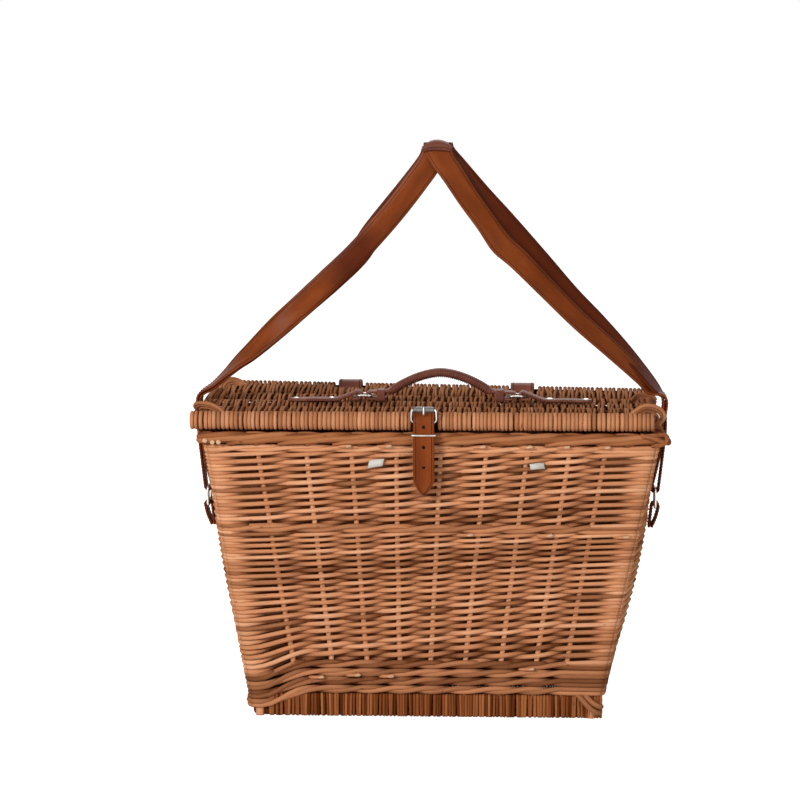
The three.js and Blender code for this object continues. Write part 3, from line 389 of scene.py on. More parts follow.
# Each wall's direction along it, its direction outwards, and the axis that it runs along
WALLS = {
    "front": ((1, 0), (0, -1), 0),
    "right": ((0, 1), (1, 0), 1),
    "back": ((-1, 0), (0, 1), 0),
    "left": ((0, -1), (-1, 0), 1),
}
FRONT_STAKES = (
    np.array([-134.7, -96.3, -61.1, -27.9, 4.2, 39.2, 75.3, 110.8, 141.3]),
    np.array([-171.5, -123.2, -78.2, -33.9, 10.0, 54.9, 95.7, 137.3, 172.6]),
)
STAKE_LEVELS = (65.0, 269.0)
LONG_STAKE_SHARES = np.array([-0.80, -0.6, -0.4, -0.2, 0, 0.2, 0.4, 0.6, 0.80])
END_STAKE_SHARES = np.array([-0.68, -0.34, 0, 0.34, 0.68])
STAKE_COUNT = {"front": 9, "right": 5, "back": 9, "left": 5}
FIRST_STAKE = {"front": 0, "right": 9, "back": 14, "left": -5}
STAKES_ROUND = 28
ROD_TONES = rng.normal(0.52, 0.17, STAKES_ROUND)
ROD_SIZES = rng.uniform(0.95, 1.05, STAKES_ROUND)
WEAVER = 1.9
DEPTH = 3.9  # how far the stakes' middles lie behind the rods that pass in front of them
SKIN = 1.5  # how far the rods stay inside the wall's face
WAVE_START = {"front": 0.4, "right": 1.7, "back": 2.9, "left": 4.3}
# How far the weave sinks at each end of a wall near the foot, over what length, and up to where
CORNER_DROP = {"front": (15.5, 0.5), "right": (0.5, 7.0), "back": (7.0, 7.0), "left": (7.0, 15.5)}
DROP_REACH = 54.0
DROP_FADE = 45
# Rods that sink below the wale stand out over the base's edge
FOOT_BULGE, BULGE_TOP, BULGE_HEIGHT = 3.0, 23, 8
PER_STAKE = 8


def share(z):
    return np.clip((z - BASE_TOP) / (WALL_TOP - BASE_TOP), -0.1, 1.05)


def half(z, axis):
    return FOOT[axis] + (TOP[axis] - FOOT[axis]) * share(z)


def stakes_at(wall, z):
    if wall == "front":
        t = (z - STAKE_LEVELS[0]) / (STAKE_LEVELS[1] - STAKE_LEVELS[0])
        return FRONT_STAKES[0] + (FRONT_STAKES[1] - FRONT_STAKES[0]) * t
    if wall == "back":
        return LONG_STAKE_SHARES * (half(z, 0) - CORNER)
    return END_STAKE_SHARES * (half(z, 1) - CORNER)


def wall_place(wall, along, out, z):
    """The place of a point on a wall: how far along it, how far out from its face, and how high."""
    (ax, ay), (ox, oy), axis = WALLS[wall]
    face = half(z, 1 - axis)
    if axis == 1:
        swell = 1 - np.clip(along / (half(z, axis) - CORNER), -1, 1) ** 2
        face = face + BELLY * np.sin(math.pi * np.clip(share(z), 0, 1)) * swell
    o = face + out
    x, y = ax * along + ox * o, ay * along + oy * o
    return lean(np.stack([x, y, np.broadcast_to(z, np.shape(x))], -1))


def lean(p):
    """The front of the real basket leans a little to the right, and its left foot stands out."""
    p = np.array(p, float)
    front = np.clip(-p[..., 1] / 130, 0, 1)
    foot = (1 - np.clip((p[..., 2] - BASE_TOP) / 190, 0, 1)) * np.clip(-p[..., 0] / 180, 0, 1) ** 2
    p[..., 0] += front * (0.021 * np.clip(p[..., 2] - 65, 0, None) - 4.5 * foot)
    return p


def stake_numbers(wall):
    """Places along a wall counted in stakes, from the middle of one corner to the next, and the knots."""
    count = STAKE_COUNT[wall]
    knots = np.concatenate([[-0.5], np.arange(count), [count - 0.5]])
    return np.linspace(-0.5, count - 0.5, PER_STAKE * count + 1), knots


def lay_rod(build, wall, u, out, z, radius, tone):
    """Lays a rod along a wall, and on to the middle of the corners that it reaches."""
    knots = stake_numbers(wall)[1]
    i, t = between(u, knots)
    axis = WALLS[wall][2]
    length = half(z, axis) - CORNER
    places = np.concatenate([-length[:, None], stakes_at(wall, z[:, None]), length[:, None]], 1)
    step = np.arange(len(u))
    along = places[step, i] * (1 - t) + places[step, i + 1] * t
    drop = np.where(along < 0, *CORNER_DROP[wall]) * np.exp(-(np.maximum(z - DROP_FADE, 0) / DROP_FADE) ** 2)
    heights = z - drop * ease((np.abs(along) - (length - DROP_REACH)) / DROP_REACH)
    along = along * (half(heights, axis) - CORNER) / length
    out = out + FOOT_BULGE * ease((BULGE_TOP - heights) / BULGE_HEIGHT)
    radius, tone = np.broadcast_to(radius, u.shape), np.broadcast_to(tone, u.shape)
    parts = [wall_place(wall, along, out - SKIN - radius, heights)]
    turns = np.radians([45, 30, 15])
    for sign, edge in ((-1, 0), (1, -1)):
        if abs(u[edge] - knots[edge]) > 0.01:
            continue
        reach = CORNER - SKIN - radius[edge] + out[edge]
        beyond = sign * (half(heights[edge], axis) - CORNER + reach * np.sin(turns))
        arc = wall_place(wall, beyond, -CORNER + reach * np.cos(turns), heights[edge])
        parts = [arc] + parts if sign < 0 else parts + [arc[::-1]]
        pad = (3, 0) if sign < 0 else (0, 3)
        radius, tone = np.pad(radius, pad, mode="edge"), np.pad(tone, pad, mode="edge")
    build.tube(np.concatenate(parts), radius, Z, 6, tone)


def weave_rows(build, wall, low, high, pitches):
    """Each rod climbs one row from stake to stake, in front of the one and behind the next."""
    rows = len(pitches)
    edges = np.concatenate([[0], np.cumsum(pitches)])
    edges = low + (high - low) * edges / edges[-1]
    edges = np.concatenate([[2 * edges[0] - edges[1]], edges, [2 * edges[-1] - edges[-2]]])
    u_all, knots = stake_numbers(wall)
    count, start = STAKE_COUNT[wall], WAVE_START[wall]
    middle = (count - 1) / 2
    dives = np.concatenate([[-0.5, -0.2], knots[1:-1], [count - 0.8, count - 0.5]])
    for j in range(-count, rows + 1):
        u = u_all[(j + u_all > -1.3) & (j + u_all < rows + 0.3)]
        if len(u) < 5:
            continue
        level = j + u
        z = np.interp(level + 0.5, np.arange(-1, rows + 2), edges)
        outs = np.where((j + np.arange(count)) % 2 == 1, 0.0, -2 * DEPTH)
        out = through_knots(u, dives, np.concatenate([[0], outs[:1], outs, outs[-1:], [0]]))
        tucked = ease(np.maximum(-0.5 - level, level - rows + 0.5) / 0.5) * (np.abs(u - middle) < middle)
        out = out * (1 - tucked) - 2 * DEPTH * tucked
        calm = 1 - np.clip(np.abs((u - middle) / (count / 2)), 0, 1) ** 4
        z = z + calm * (0.55 * np.sin(u * 0.8 + start + level * 0.11)
                        + 0.35 * np.sin(u * 1.7 - 2 * start + level * 0.23))
        rod = (j - FIRST_STAKE[wall]) % STAKES_ROUND
        radius = (0.52 + 0.5 * np.interp(level, np.arange(rows), pitches)) * ROD_SIZES[rod]
        radius = radius * (1 + 0.05 * np.sin(u * 2.3 + j * 1.9) * calm) + (0.5 if wall == "back" else 0)
        # The tone drops the further a rod lies behind the stakes: painted shade.
        lay_rod(build, wall, u, out, z, radius, ROD_TONES[rod] + 0.5 * out / (2 * DEPTH))


def wale(build, wall, low, high, rounds, radius, tone):
    """Rounds of three rods: each passes low before a stake, high before the next, and behind the third."""
    u, knots = stake_numbers(wall)
    count = STAKE_COUNT[wall]
    pitch = (high - low) / rounds
    rise = pitch / 2 - 0.9 * radius
    for n in range(rounds):
        middle = low + pitch * (n + 0.5)
        for i in range(3):
            step = (FIRST_STAKE[wall] + np.arange(-1, count) + i + n) % 3
            heights = middle + np.choose(step, [-rise, rise, 0.0])
            last = heights[-1]
            heights[1:] += rng.normal(0, 0.15, count)
            behind = np.where(step == 2, -2 * DEPTH, 0.0)
            tucked = np.where(step[[0, -1]] == 2, -3.0, 0.0)
            out = through_knots(u, knots, np.concatenate([tucked[:1], behind[1:], tucked[1:]]))
            z = through_knots(u, knots, np.append(heights, last))
            # The tone drops where a rod passes behind a stake: painted shade.
            rod_tone = tone + 0.16 * math.sin(5 * i + 3 * n + radius) + 0.5 * out / (2 * DEPTH)
            lay_rod(build, wall, u, out, z, radius, rod_tone)


def stakes(build, wall):
    levels = np.linspace(BASE_TOP - 6, WALL_TOP + 3, 16)
    for j in range(STAKE_COUNT[wall]):
        along = np.array([stakes_at(wall, z)[j] for z in levels]) + rng.normal(0, 0.25, len(levels))
        path = wall_place(wall, along, -SKIN - WEAVER - DEPTH, levels)
        ref = Y if WALLS[wall][2] else X
        build.tube(path, np.linspace(2.75, 2.45, len(levels)), ref, 8, rng.uniform(0.5, 0.8))


def woven_wall(wall):
    build = Build()
    stakes(build, wall)
    wale(build, wall, BASE_TOP, LOWER_WALE_TOP, 4, 3.1 if wall == "back" else 2.65, 0.22)
    weave_rows(build, wall, LOWER_WALE_TOP, MID_WALE_BASE, np.linspace(4.1, 2.85, 38))
    wale(build, wall, MID_WALE_BASE, MID_WALE_TOP, 1, 2.6, 0.24)
    weave_rows(build, wall, MID_WALE_TOP, UPPER_WALE_BASE, np.full(20, 3.625))
    wale(build, wall, UPPER_WALE_BASE, WALL_TOP, 1, 2.45, 0.5)
    return build


def corner_post(name, sx, sy, replaced):
    build = Build()
    levels = np.linspace(BASE_TOP - 10, WALL_TOP + 2, 12)
    path = np.stack([sx * (half(levels, 0) - CORNER), sy * (half(levels, 1) - CORNER), levels], 1)
    build.tube(lean(path), 7.4, X, 14, 0.4)
    build.make(name, "basket", ([BORDER], "willow"), [replaced])


def loop_points(hx, hy, corner, spacing):
    """Places and outward directions round a rectangle with round corners."""
    pts = []
    for sx, sy, start in ((1, -1, -90), (1, 1, 0), (-1, 1, 90), (-1, -1, 180)):
        for a in np.radians(np.linspace(start, start + 90, 7)):
            u = sx * (hx - corner) + corner * math.cos(a)
            v = sy * (hy - corner) + corner * math.sin(a)
            pts.append([u, v, 0])
    pts = np.array(pts + pts[:1])
    s = lengths(pts)
    p = at_lengths(np.linspace(0, s[-1], int(s[-1] / spacing), endpoint=False), s, pts)
    return p, np.cross(unit(np.roll(p, -1, 0) - np.roll(p, 1, 0)), Z)


# The border's two rods at each stake: where they start, how far inside the rim they lie, and their radius
BORDER_RODS = ((0.0, (8.0, 3.1, 3.4, 9.5), 2.95), (0.5, (5.5, 11.4, 11.2, 6.0), 2.6))
BORDER_HEIGHTS = (281.0, 283.1, 286.2, 290.0, 289.0)


def border(build):
    """Each rod comes out between two stakes, climbs along the rim and is tucked in over the top."""
    line, out = loop_points(RIM[0], RIM[1], 15.5, 3.0)
    reach = int(2.45 * len(line) / STAKES_ROUND)
    t = np.linspace(0, 1, reach)
    z = through_knots(t, (0, 0.12, 0.5, 0.88, 1.0), BORDER_HEIGHTS)
    shade = 0.25 * (np.minimum(t * 7, 1) * np.minimum((1 - t) * 6, 1) - 1)
    for shift, depths, r in BORDER_RODS:
        inward = through_knots(t, (0, 0.12, 0.84, 1.0), depths)
        for k in range(STAKES_ROUND):
            index = (int((k + shift) * len(line) / STAKES_ROUND) + np.arange(reach)) % len(line)
            path = line[index] - out[index] * inward[:, None] + Z * z[:, None]
            tone = 0.52 + 0.2 * math.sin(k * 2.7 + 17.2 * shift) + shade
            build.tube(lean(path), r * rng.uniform(0.95, 1.04), Z, 8, tone)
    build.tube(lean(line - out * 7.2 + Z * 286.0), 5.0, Z, 10, 0.15, closed=True)


# Two rods of the border that turn round the right front corner, where their ends are tucked in
RIM_KNOT = (
    [(212, -137, 291), (222, -143.5, 289.5), (231, -145, 286.5), (238, -141.5, 284), (239.8, -133, 284.5),
     (237, -126, 288), (230, -124, 290)],
    [(226, -135, 281), (233, -142.5, 283), (237.5, -143.5, 287.5), (236, -138.5, 291.5), (229, -133, 291)],
)
# Two rods that turn down round the right front corner, under the wale
FOOT_RODS = (
    [(148, -95, 26.5), (154, -101.5, 21.5), (162, -106, 13.5), (168.5, -106, 8.4), (172.6, -102.5, 6.4),
     (173.2, -98, 6.0), (172.4, -94, 6)],
    [(156, -95, 26.5), (161, -101.5, 21.6), (166.6, -105, 17), (171.4, -104.5, 14.2), (174.2, -101.5, 12.8),
     (174.6, -98, 12.6), (173, -94, 12.6)],
)
# Cut rod ends under the rim, and at the wales, as (x, z, radius)
RIM_ENDS = ((-219, 284.0, 2.5), (-211.5, 282.4, 2.4), (-205.5, 282.6, 2.4))
WALE_ENDS = (
    (-81, 279, 1.9), (-41, 279.2, 2.0), (52, 279, 2.0), (98, 279, 2.1), (135, 279.2, 1.9), (175, 279, 1.9),
    (41.5, 189.5, 2.0), (120.5, 189.5, 2.1), (196, 188.5, 2.0), (-105, 41.5, 1.9), (-69, 44, 2.0),
    (-35.6, 43.2, 2.1), (105, 51.7, 1.8),
)


def cut_ends():
    build = Build()
    for x, z, r in RIM_ENDS:
        y = -RIM[1] - 0.6
        build.tube([[x, y + 9, z + 0.6], [x, y + 4, z + 0.3], [x, y, z]], [r * 0.95, r, r], X, 10, 0.5)
        build.tube([[x, y - 0.02, z], [x, y - 0.12, z]], [r * 0.93, r * 0.86], X, 10, 0.3, mat=1)
    turn = np.radians(np.arange(0, 360, 30))
    slant = unit([0.96, 0, 0.14])
    for x, z, r in WALE_ENDS:
        y = -half(z, 1) - 1.2
        knots = [[x - 13, y + 8, z - 1.4], [x - 7, y + 2.4, z - 0.7], [x, y, z], [x + 1.6, y, z + 0.2]]
        path = lean(smooth(knots, 4))
        build.tube(path, np.linspace(r * 0.8, r, len(path)), Z, 8, 0.45)
        face = path[-1] - slant * r * 0.9
        rings = [face - Y * (r - 0.25), face - Y * (r + 0.12)]
        ellipse = np.stack([np.cos(turn) * 1.7 * r, np.sin(turn) * 0.66 * r], 1)
        build.sweep(rings, [slant] * 2, [np.cross(slant, Y)] * 2, [ellipse, ellipse * 0.9], 0.35, mat=1)
    build.make("cut_rod_ends", "basket", ([WILLOW, PITH], "willow"))


def make_basket():
    for wall in WALLS:
        woven_wall(wall).make(f"woven_wall_{wall}", "basket", ([WILLOW], "willow"), [f"wall_{wall}"])
    for nx, sx in (("left", -1), ("right", 1)):
        for ny, sy in (("front", -1), ("back", 1)):
            corner_post(f"wicker_post_{ny}_{nx}", sx, sy, f"corner_post_{ny}_{nx}")
    rim = Build()
    border(rim)
    for points in RIM_KNOT:
        rim.tube(smooth(points, 5), 2.35, Z, 8, 0.35)
    sides = ["rim_front", "rim_back", "rim_left", "rim_right"]
    rim.make("plaited_rim", "basket", ([RIMROD], "willow"), sides)
    cut_ends()
    foot = Build()
    for points in FOOT_RODS:
        foot.tube(smooth(points, 5), 2.7, Z, 8, rng.uniform(0.2, 0.35))
    foot.make("foot_rods", "basket", ([WILLOW], "willow"))


# Lid
LID_LEFT, LID_RIGHT = LID_X - LID[0] - 0.3, LID_X + LID[0] - 1
LID_STICKS = np.array([-96.0, -48.0, 0.0, 48.0, 96.0])
STICK_Z = PANEL_TOP - 5.3
PANEL_ROD = 1.5
HINGE_X, CLASP_X = 91.5, -1.8
# Slots that the wraps leave for the leather, as (middle, width, 1 for the rear or -1 for the front, reach)
LID_SLOTS = ((-HINGE_X, 26, 1, 116), (HINGE_X, 26, 1, 116), (CLASP_X, 21, -1, 119))
SLOT_MARGIN = 2.6
# Rods of an end of the lid, as (distance in from the end, height over the stick's middle, radius)
END_RODS = ((3.3, 3.6, 3.1), (3.4, -3.0, 3.0), (4.0, -6.6, 2.7), (9.3, 2.6, 2.9), (9.4, -3.2, 2.8),
            (9.6, -6.6, 2.6), (14.6, 1.8, 2.3))
# Middle line of the outer rod of each arch at the lid's corners
ARCHES = {
    "front_left": [(-229, -98, 308), (-232, -108, 314.5), (-229.5, -117, 318.6), (-222.8, -124, 320.0),
                   (-212.8, -128, 318.6), (-203.9, -131, 313.9), (-199, -131, 308)],
    "back_left": [(-227, 84, 309), (-226.6, 93, 316.5), (-222.6, 104, 320.4), (-216.1, 114, 321.4),
                  (-207.9, 118, 318.3), (-199.2, 116, 311.5), (-196, 114, 307)],
    "front_right": [(199, -128, 308), (205.5, -130, 314.3), (215.3, -127, 319.6), (226, -123, 318.6),
                    (233, -120, 314), (235.4, -118, 307), (229.1, -118, 298.6)],
    "back_right": [(203, 44, 302), (205.7, 50, 306.4), (210.3, 60, 310.2), (217, 66, 311.2), (226, 70, 310.2),
                   (231, 72, 306), (230, 72, 300)],
}


def lid_twist(p):
    """The rear edge of the real lid is up, by more at the left than at the right."""
    p = np.array(p, float)
    p[..., 2] += (2.2 - 0.016 * p[..., 0]) * ease((p[..., 1] + 60) / 180)
    return p


def lid_strand(x, i, r, wraps):
    """A rod that goes over and under the lid's cross sticks. Every other one wraps the outer sticks."""
    sign = np.where((np.arange(len(LID_STICKS)) + i) % 2 == 0, 1.0, -1.0)
    heights = STICK_Z + sign * (3.6 + rng.normal(0, 0.25, len(sign)))
    pts = [(y, z, PANEL_ROD) for y, z in zip(LID_STICKS, heights)]
    if wraps:
        reach = LID_ROD - r
        hook = rng.integers(-3, 3) * 5
        for side, turns in ((-1, range(290 + hook, 80, -20)), (1, range(90, -120, -20))):
            wrap = [(side * LID_EDGE + reach * math.cos(a), LID_Z + reach * math.sin(a), r)
                    for a in np.radians(turns)]
            dip = [(side * (LID_EDGE - 7.5), LID_TOP - 4.2, r * 0.9)]
            pts = wrap + dip + pts if side < 0 else pts + dip + wrap
    else:
        ends = [(-LID_EDGE + 1.5, LID_Z + 3.2, 1.3), (-LID_EDGE + 8.5, LID_Z + 3.4, PANEL_ROD)]
        pts = ends + pts + [(-y, z, q) for y, z, q in ends[::-1]]
    pts = smooth(pts, 3)
    path = lid_twist(np.column_stack([np.full(len(pts), x), pts[:, :2]]))
    return path, np.clip(pts[:, 2], 1.2, 2.6)


def cleared(x, path):
    """Which of a strand's points stay clear of the slots for the leather."""
    keep = np.ones(len(path), bool)
    for middle, width, end, reach in LID_SLOTS:
        if abs(x - middle) < width / 2 + SLOT_MARGIN:
            keep &= end * path[:, 1] < reach
    return keep


def lid_weave():
    weave = Build()
    x, i = LID_LEFT + 1, 0
    while x < LID_RIGHT - 1:
        r = rng.uniform(1.75, 2.45)
        x += r
        skew = rng.normal(0, 0.75)
        for wraps, shift in ((True, 0), (False, r)):
            if not wraps and not LID_LEFT + 20 < x < LID_RIGHT - 20:
                continue
            path, radii = lid_strand(x + shift, 0 if wraps else 1, r, wraps)
            y = path[:, 1]
            sway = 0.9 * np.sin(y / 34 + x / 9) + 0.7 * np.sin(y / 17 + i * 2.4)
            path[:, 0] += (skew + sway) * ease((LID[1] - np.abs(y)) / 30)
            over_stick = path[:, 2] - lid_twist(path * [1, 1, 0])[:, 2] - STICK_Z
            lying = np.abs(y) < LID[1] - LID_ROD * 1.6
            # Over the top, a strand's tone drops where it dips under the sticks: painted shade.
            tone = rng.normal(0.5, 0.13) + np.where(lying, 0.13 * over_stick, 0)
            keep = cleared(x, path)
            path, radii, tone = path[keep], radii[keep], tone[keep]
            if wraps:
                cut = int((path[:, 1] < -LID[1] + LID_ROD * 1.45).sum())
                if cut > 3:
                    weave.tube(path[:cut + 1], radii[:cut + 1], X, 7, tone[:cut + 1])
                path, radii, tone = path[cut:], radii[cut:], tone[cut:]
            weave.tube(path, radii, X, 6, tone, mat=1)
        x += r * 0.96 + (rng.uniform(0.5, 1.2) if rng.random() < 0.16 else 0)
        i += 1
    for y in LID_STICKS:
        p = [[a, y + rng.normal(0, 0.3), STICK_Z] for a in np.linspace(LID_LEFT + 6, LID_RIGHT - 6, 30)]
        weave.tube(lid_twist(p), 2.2, Y, 8, rng.uniform(0.2, 0.6), mat=1)
    replaced = ["lid_panel", "lid_front_stick", "lid_rear_stick"]
    weave.make("woven_lid", "lid", ([BORDER, LID_TOP_SHADED], "willow_dark"), replaced)


def lid_sticks():
    sticks = Build()
    for y in (-LID_EDGE, LID_EDGE):
        p = [[a, y, LID_Z] for a in np.linspace(LID_LEFT + 1.5, LID_RIGHT - 0.5, 30)]
        # The core sticks inside the wraps take tone 0, the near-black low end of the lid's willow: painted
        # shade between the wraps.
        sticks.tube(lid_twist(p), LID_ROD - 3.4, Y, 12, 0.0)
    for side in (-1, 1):
        for dx, dz, r in END_RODS:
            y = np.linspace(-LID[1] + 12, LID[1] - 12, 34)
            x = LID_X + side * (LID[0] - dx) + 0.4 * np.sin(y / 25 + dx)
            path = lid_twist(np.stack([x, y, np.full(len(y), LID_Z + dz)], 1))
            sticks.tube(path, r, X, 8, rng.uniform(0.2, 0.9))
    sticks.make("lid_sticks", "lid", ([LID_TOP_SHADED], "willow_dark"), ["lid_left_stick", "lid_right_stick"])


def make_lid():
    lid_weave()
    lid_sticks()
    for name, points in ARCHES.items():
        arch = Build()
        points = np.array(points, float)
        centre = (points[0] + points[-1]) / 2
        for scale, drop, r in ((1, 0, 1.9), (0.86, 0.6, 1.8), (0.70, 1.2, 1.7)):
            path = centre + (points - centre) * scale - Z * drop
            arch.tube(smooth(path, 6), r, Z, 8, rng.uniform(0.1, 0.45))
        arch.make(f"wicker_loop_{name}", "lid", ([BORDER], "willow"), [f"lid_corner_loop_{name}"])


# Base
BASE_STICKS = np.linspace(-64, 64, 5)
BASE_STICK_Z = 5.0
# How far the sticks at the front corners of the base stand in from its ends
FRONT_STICKS = {-1: 6.8, 1: 11.5}
REAR_STICKS = 4.6
# Rods inside the base's edge, as (height, how far further in), and those behind the wale at the back
CORE_RODS = ((4.6, 0), (12.0, 0), (19.4, 0), (25.6, 2.6))
BACK_CORE_RODS = ((33.8, 3.0), (42.0, 2.4))


def make_base():
    """Strands that wrap the base's edge and cross under the basket."""
    build = Build()
    x, i = -BASE[0] + 3, 0
    while x < BASE[0] - 3:
        r = rng.uniform(1.2, 1.75)
        x += r
        sway = rng.normal(0, 0.45)
        wrap = [(9, 22), (4, 24 - r), (r, 21), (r, 12), (r + 0.2, 4),
                (2.4, r + 0.1), (12, r + 0.6), (30, r + 0.8)]
        for side in (-1, 1):
            if side > 0 or x >= -162:
                pts = [[x + sway * k / 3, side * (BASE[1] - a), b] for k, (a, b) in enumerate(wrap)]
                build.tube(smooth(pts, 3), r, X, 7, rng.uniform(0, 1))
        sign = np.where((np.arange(5) + i) % 2 == 0, 1.0, -1.0)
        under = [(s, BASE_STICK_Z + 2.2 * g) for s, g in zip(BASE_STICKS, sign)]
        path = in_plane(x, [(-BASE[1] + 30, 2.8)] + under + [(BASE[1] - 30, 2.8)], 4)
        build.tube(path, r, X, 6, rng.uniform(0, 1))
        x += r * 0.93
        i += 1
    for y in BASE_STICKS:
        build.tube([[a, y, BASE_STICK_Z] for a in np.linspace(-BASE[0] + 4, BASE[0] - 4, 20)], 2.4, Y, 8, 0.5)
    replaced = ["base_panel", "base_edge_front", "base_edge_back"]
    build.make("woven_base", "basket", ([FOOTING_STAIN_AND_SHADE], "willow_dark"), replaced)
    base_ends()
    core = Build()
    for side in (-1, 1):
        for z, inwards in CORE_RODS + (BACK_CORE_RODS if side > 0 else ()):
            y = side * (BASE[1] - 6.2 - inwards)
            # Tone 0 makes the core the darkest willow: painted shade in the gaps between the strands.
            core.tube([[a, y, z] for a in np.linspace(-BASE[0] + 3, BASE[0] - 3, 20)], 4.1, Y, 8, 0.0)
    core.make("base_core", "basket", ([FOOTING_STAIN_AND_SHADE], "willow_dark"))


def base_ends():
    ends = Build()
    for side in (-1, 1):
        y = -BASE[1] + 6
        while y < BASE[1] - 6:
            r = rng.uniform(1.6, 2.2)
            y += r
            wrap = [(9, 22), (4, 24 - r), (r, 20), (r, 12), (r, 4), (5, r + 0.2), (12, r + 0.4)]
            pts = [[side * (BASE[0] - a), y, b] for a, b in wrap]
            ends.tube(smooth(pts, 3), r, Y, 7, rng.uniform(0, 1))
            y += r
        for end, inwards in ((-1, FRONT_STICKS[side]), (1, REAR_STICKS)):
            x, stick_y = side * (BASE[0] - inwards), end * (BASE[1] - 4.2)
            ends.tube([[x, stick_y, z] for z in (0.3, 3, 7, 11.5)], 4.3, X, 10, 0.6, mat=1)
    replaced = ["base_edge_left", "base_edge_right"]
    ends.make("base_ends", "basket", ([FOOTING_STAIN_AND_SHADE, WILLOW], "willow_dark"), replaced)


# Leather
def leather_outline(width, thick, crown=0.0, sag=0.0):
    """Cross-section of a strap: its flesh side, then its grain side. Sag bends both edges down."""
    w, t, b = width / 2, thick / 2, min(thick * 0.32, 0.8)
    flesh = [(-w, -t + b), (-w + b, -t), (-w / 2, -t), (0, -t), (w / 2, -t), (w - b, -t), (w, -t + b)]
    grain = [(u, -v + crown * c) for (u, v), c in zip(flesh[::-1], (0, 0, 0.75, 1, 0.75, 0, 0))]
    return [(u, v - sag * (u / w) ** 2) for u, v in flesh + grain]


def stitch_row(build, centres, across, normal, offset, lift, radius=0.36, step=3.3, length=2.5):
    """Separate stitches along a strap, offset across it and lifted to its face."""
    c = centres + across * np.reshape(offset, (-1, 1)) + normal * lift
    s = lengths(c)
    build.tube(c - 0.24 * normal * np.sign(lift), radius * 0.9, normal, 4, 0.5, mat=1)
    place = 2.0
    while place < s[-1] - length:
        at = np.linspace(place, place + length, 4)
        n = unit(at_lengths(at, s, normal))
        p = at_lengths(at, s, c) + n * np.array([[-0.25], [0.12], [0.12], [-0.25]]) * np.sign(lift)
        build.tube(p, [radius * 0.7, radius, radius, radius * 0.7], n, 5, 0.5, mat=1)
        place += step


def strap_piece(build, path, across, width, thick, inset=2.6, faces=(1,), tone=FACES, crown=0.0):
    """A flat strap along a path, with stitching near both edges."""
    tan = unit(np.gradient(path, axis=0))
    across = square_to(across, tan)
    normal = np.cross(tan, across)
    width = np.broadcast_to(np.asarray(width, float), (len(path),))
    build.sweep(path, across, normal, [leather_outline(w, thick, crown) for w in width], tone)
    for face in faces:
        for side in (-1, 1):
            stitch_row(build, path, across, normal, side * (width / 2 - inset), face * (thick / 2 + 0.05))
    return normal


STRAP_W, STRAP_T = 24.0, 2.2
STRAP_INNER, STRAP_OUTER = 236.9, 239.7
SEAM_Z, FOLD_Z, RISE = 297.0, 315.0, 254.5
FOLD_LINE = FOLD_Z + RISE
APEX_X, SLOPE = 5.8, 0.72
APEX_HALF = STRAP_W / 2 * math.hypot(1, SLOPE)
SHADOW_Z, SHADOW_REACH = 460, 40
# Each strand's middle line from the bend to the fold, as (x, z, degrees that its face is turned)
STRANDS = {
    "front_left": [
        (-238.3, 315, 0), (-224.5, 325, 7), (-211.4, 336.9, 14), (-198.2, 349.1, 28), (-183.9, 361.3, 44),
        (-157.9, 385.8, 68), (-131.4, 410.3, 90), (-105.4, 434.8, 90), (-79.4, 459.3, 90), (-56.9, 483.7, 90),
        (-36, 508.2, 90), (-17.1, 532.7, 90), (-2.0, 554.0, 90)],
    "rear_left": [
        (-238.3, 315, 0), (-225, 325, 7), (-212.2, 336.9, 14), (-199.8, 349.1, 28), (-185.2, 361.3, 44),
        (-158.4, 385.8, 68), (-130.6, 410.3, 88), (-102.4, 434.8, 86), (-77, 459.3, 84), (-60, 483.7, 84),
        (-40.5, 508.2, 84), (-20.5, 532.7, 86), (-4.0, 554.0, 90)],
    "front_right": [
        (238.3, 315, 0), (224, 322.6, 24), (215.5, 332.8, 31), (200.6, 348.1, 40), (178, 368.5, 44),
        (149.4, 394, 48), (118.5, 424.6, 52), (88.5, 455.2, 62), (70.5, 471.5, 70), (54.5, 492.9, 60),
        (36.4, 517.4, 62), (20, 542.9, 70), (11.5, 556, 82)],
    "rear_right": [
        (238.3, 315, 0), (231, 325.2, 18), (213, 346.8, 28), (193, 368.2, 40),
        (170, 392, 48), (142, 419.8, 54),
        (111.7, 454.2, 58), (77.3, 493, 60), (49.5, 522.8, 64), (26, 549, 72), (14, 562, 84)],
}


def strand(name, radius, apex):
    """Rings of one strand: centre, across, outward normal and width, from the seam to the fold."""
    side = 1 if name.endswith("right") else -1
    front = name.startswith("front")
    top = FOLD_LINE + (0 if front else 5.5 * (side > 0))
    places = np.array([[side * x, 0, z] for x, z, _ in STRANDS[name]] + [[side * apex, 0, top]])
    runs = unit(np.gradient(places, axis=0))
    runs[0] = Z
    reach = []
    for run, (_, _, degrees) in zip(runs, STRANDS[name]):
        a = math.radians(degrees)
        reach.append((Y * math.cos(a) + unit(np.cross(Y, run)) * math.sin(a)) * STRAP_W / 2)
    reach = np.array(reach + [X * APEX_HALF])
    seam = Z * (SEAM_Z - FOLD_Z)
    outer, inner = (np.vstack([edge[:1] + seam, edge]) for edge in (places + reach, places - reach))
    outer, inner = smooth(outer, 6), smooth(inner, 6)
    middle = (outer + inner) / 2
    across = unit(outer - inner)
    normal = unit(np.cross(across, unit(np.gradient(middle, axis=0))))
    rise = np.clip((middle[:, 2] - FOLD_Z) / RISE, 0, 1)
    layer = (1 if front else -1) * (1.4 + (radius - 1.4) * rise ** 2)
    spread = 9.0 * np.sin(math.pi * rise) * (side > 0) * (-1 if front else 1)
    middle = middle + normal * layer[:, None] + Y * spread[:, None]
    width = np.clip(np.linalg.norm(outer - inner, axis=1), STRAP_W - 1, None)
    for v in (middle, across, normal):
        v[:, 0] *= side
    if not front:
        across, normal = -across, -normal
    return middle, across, normal, width


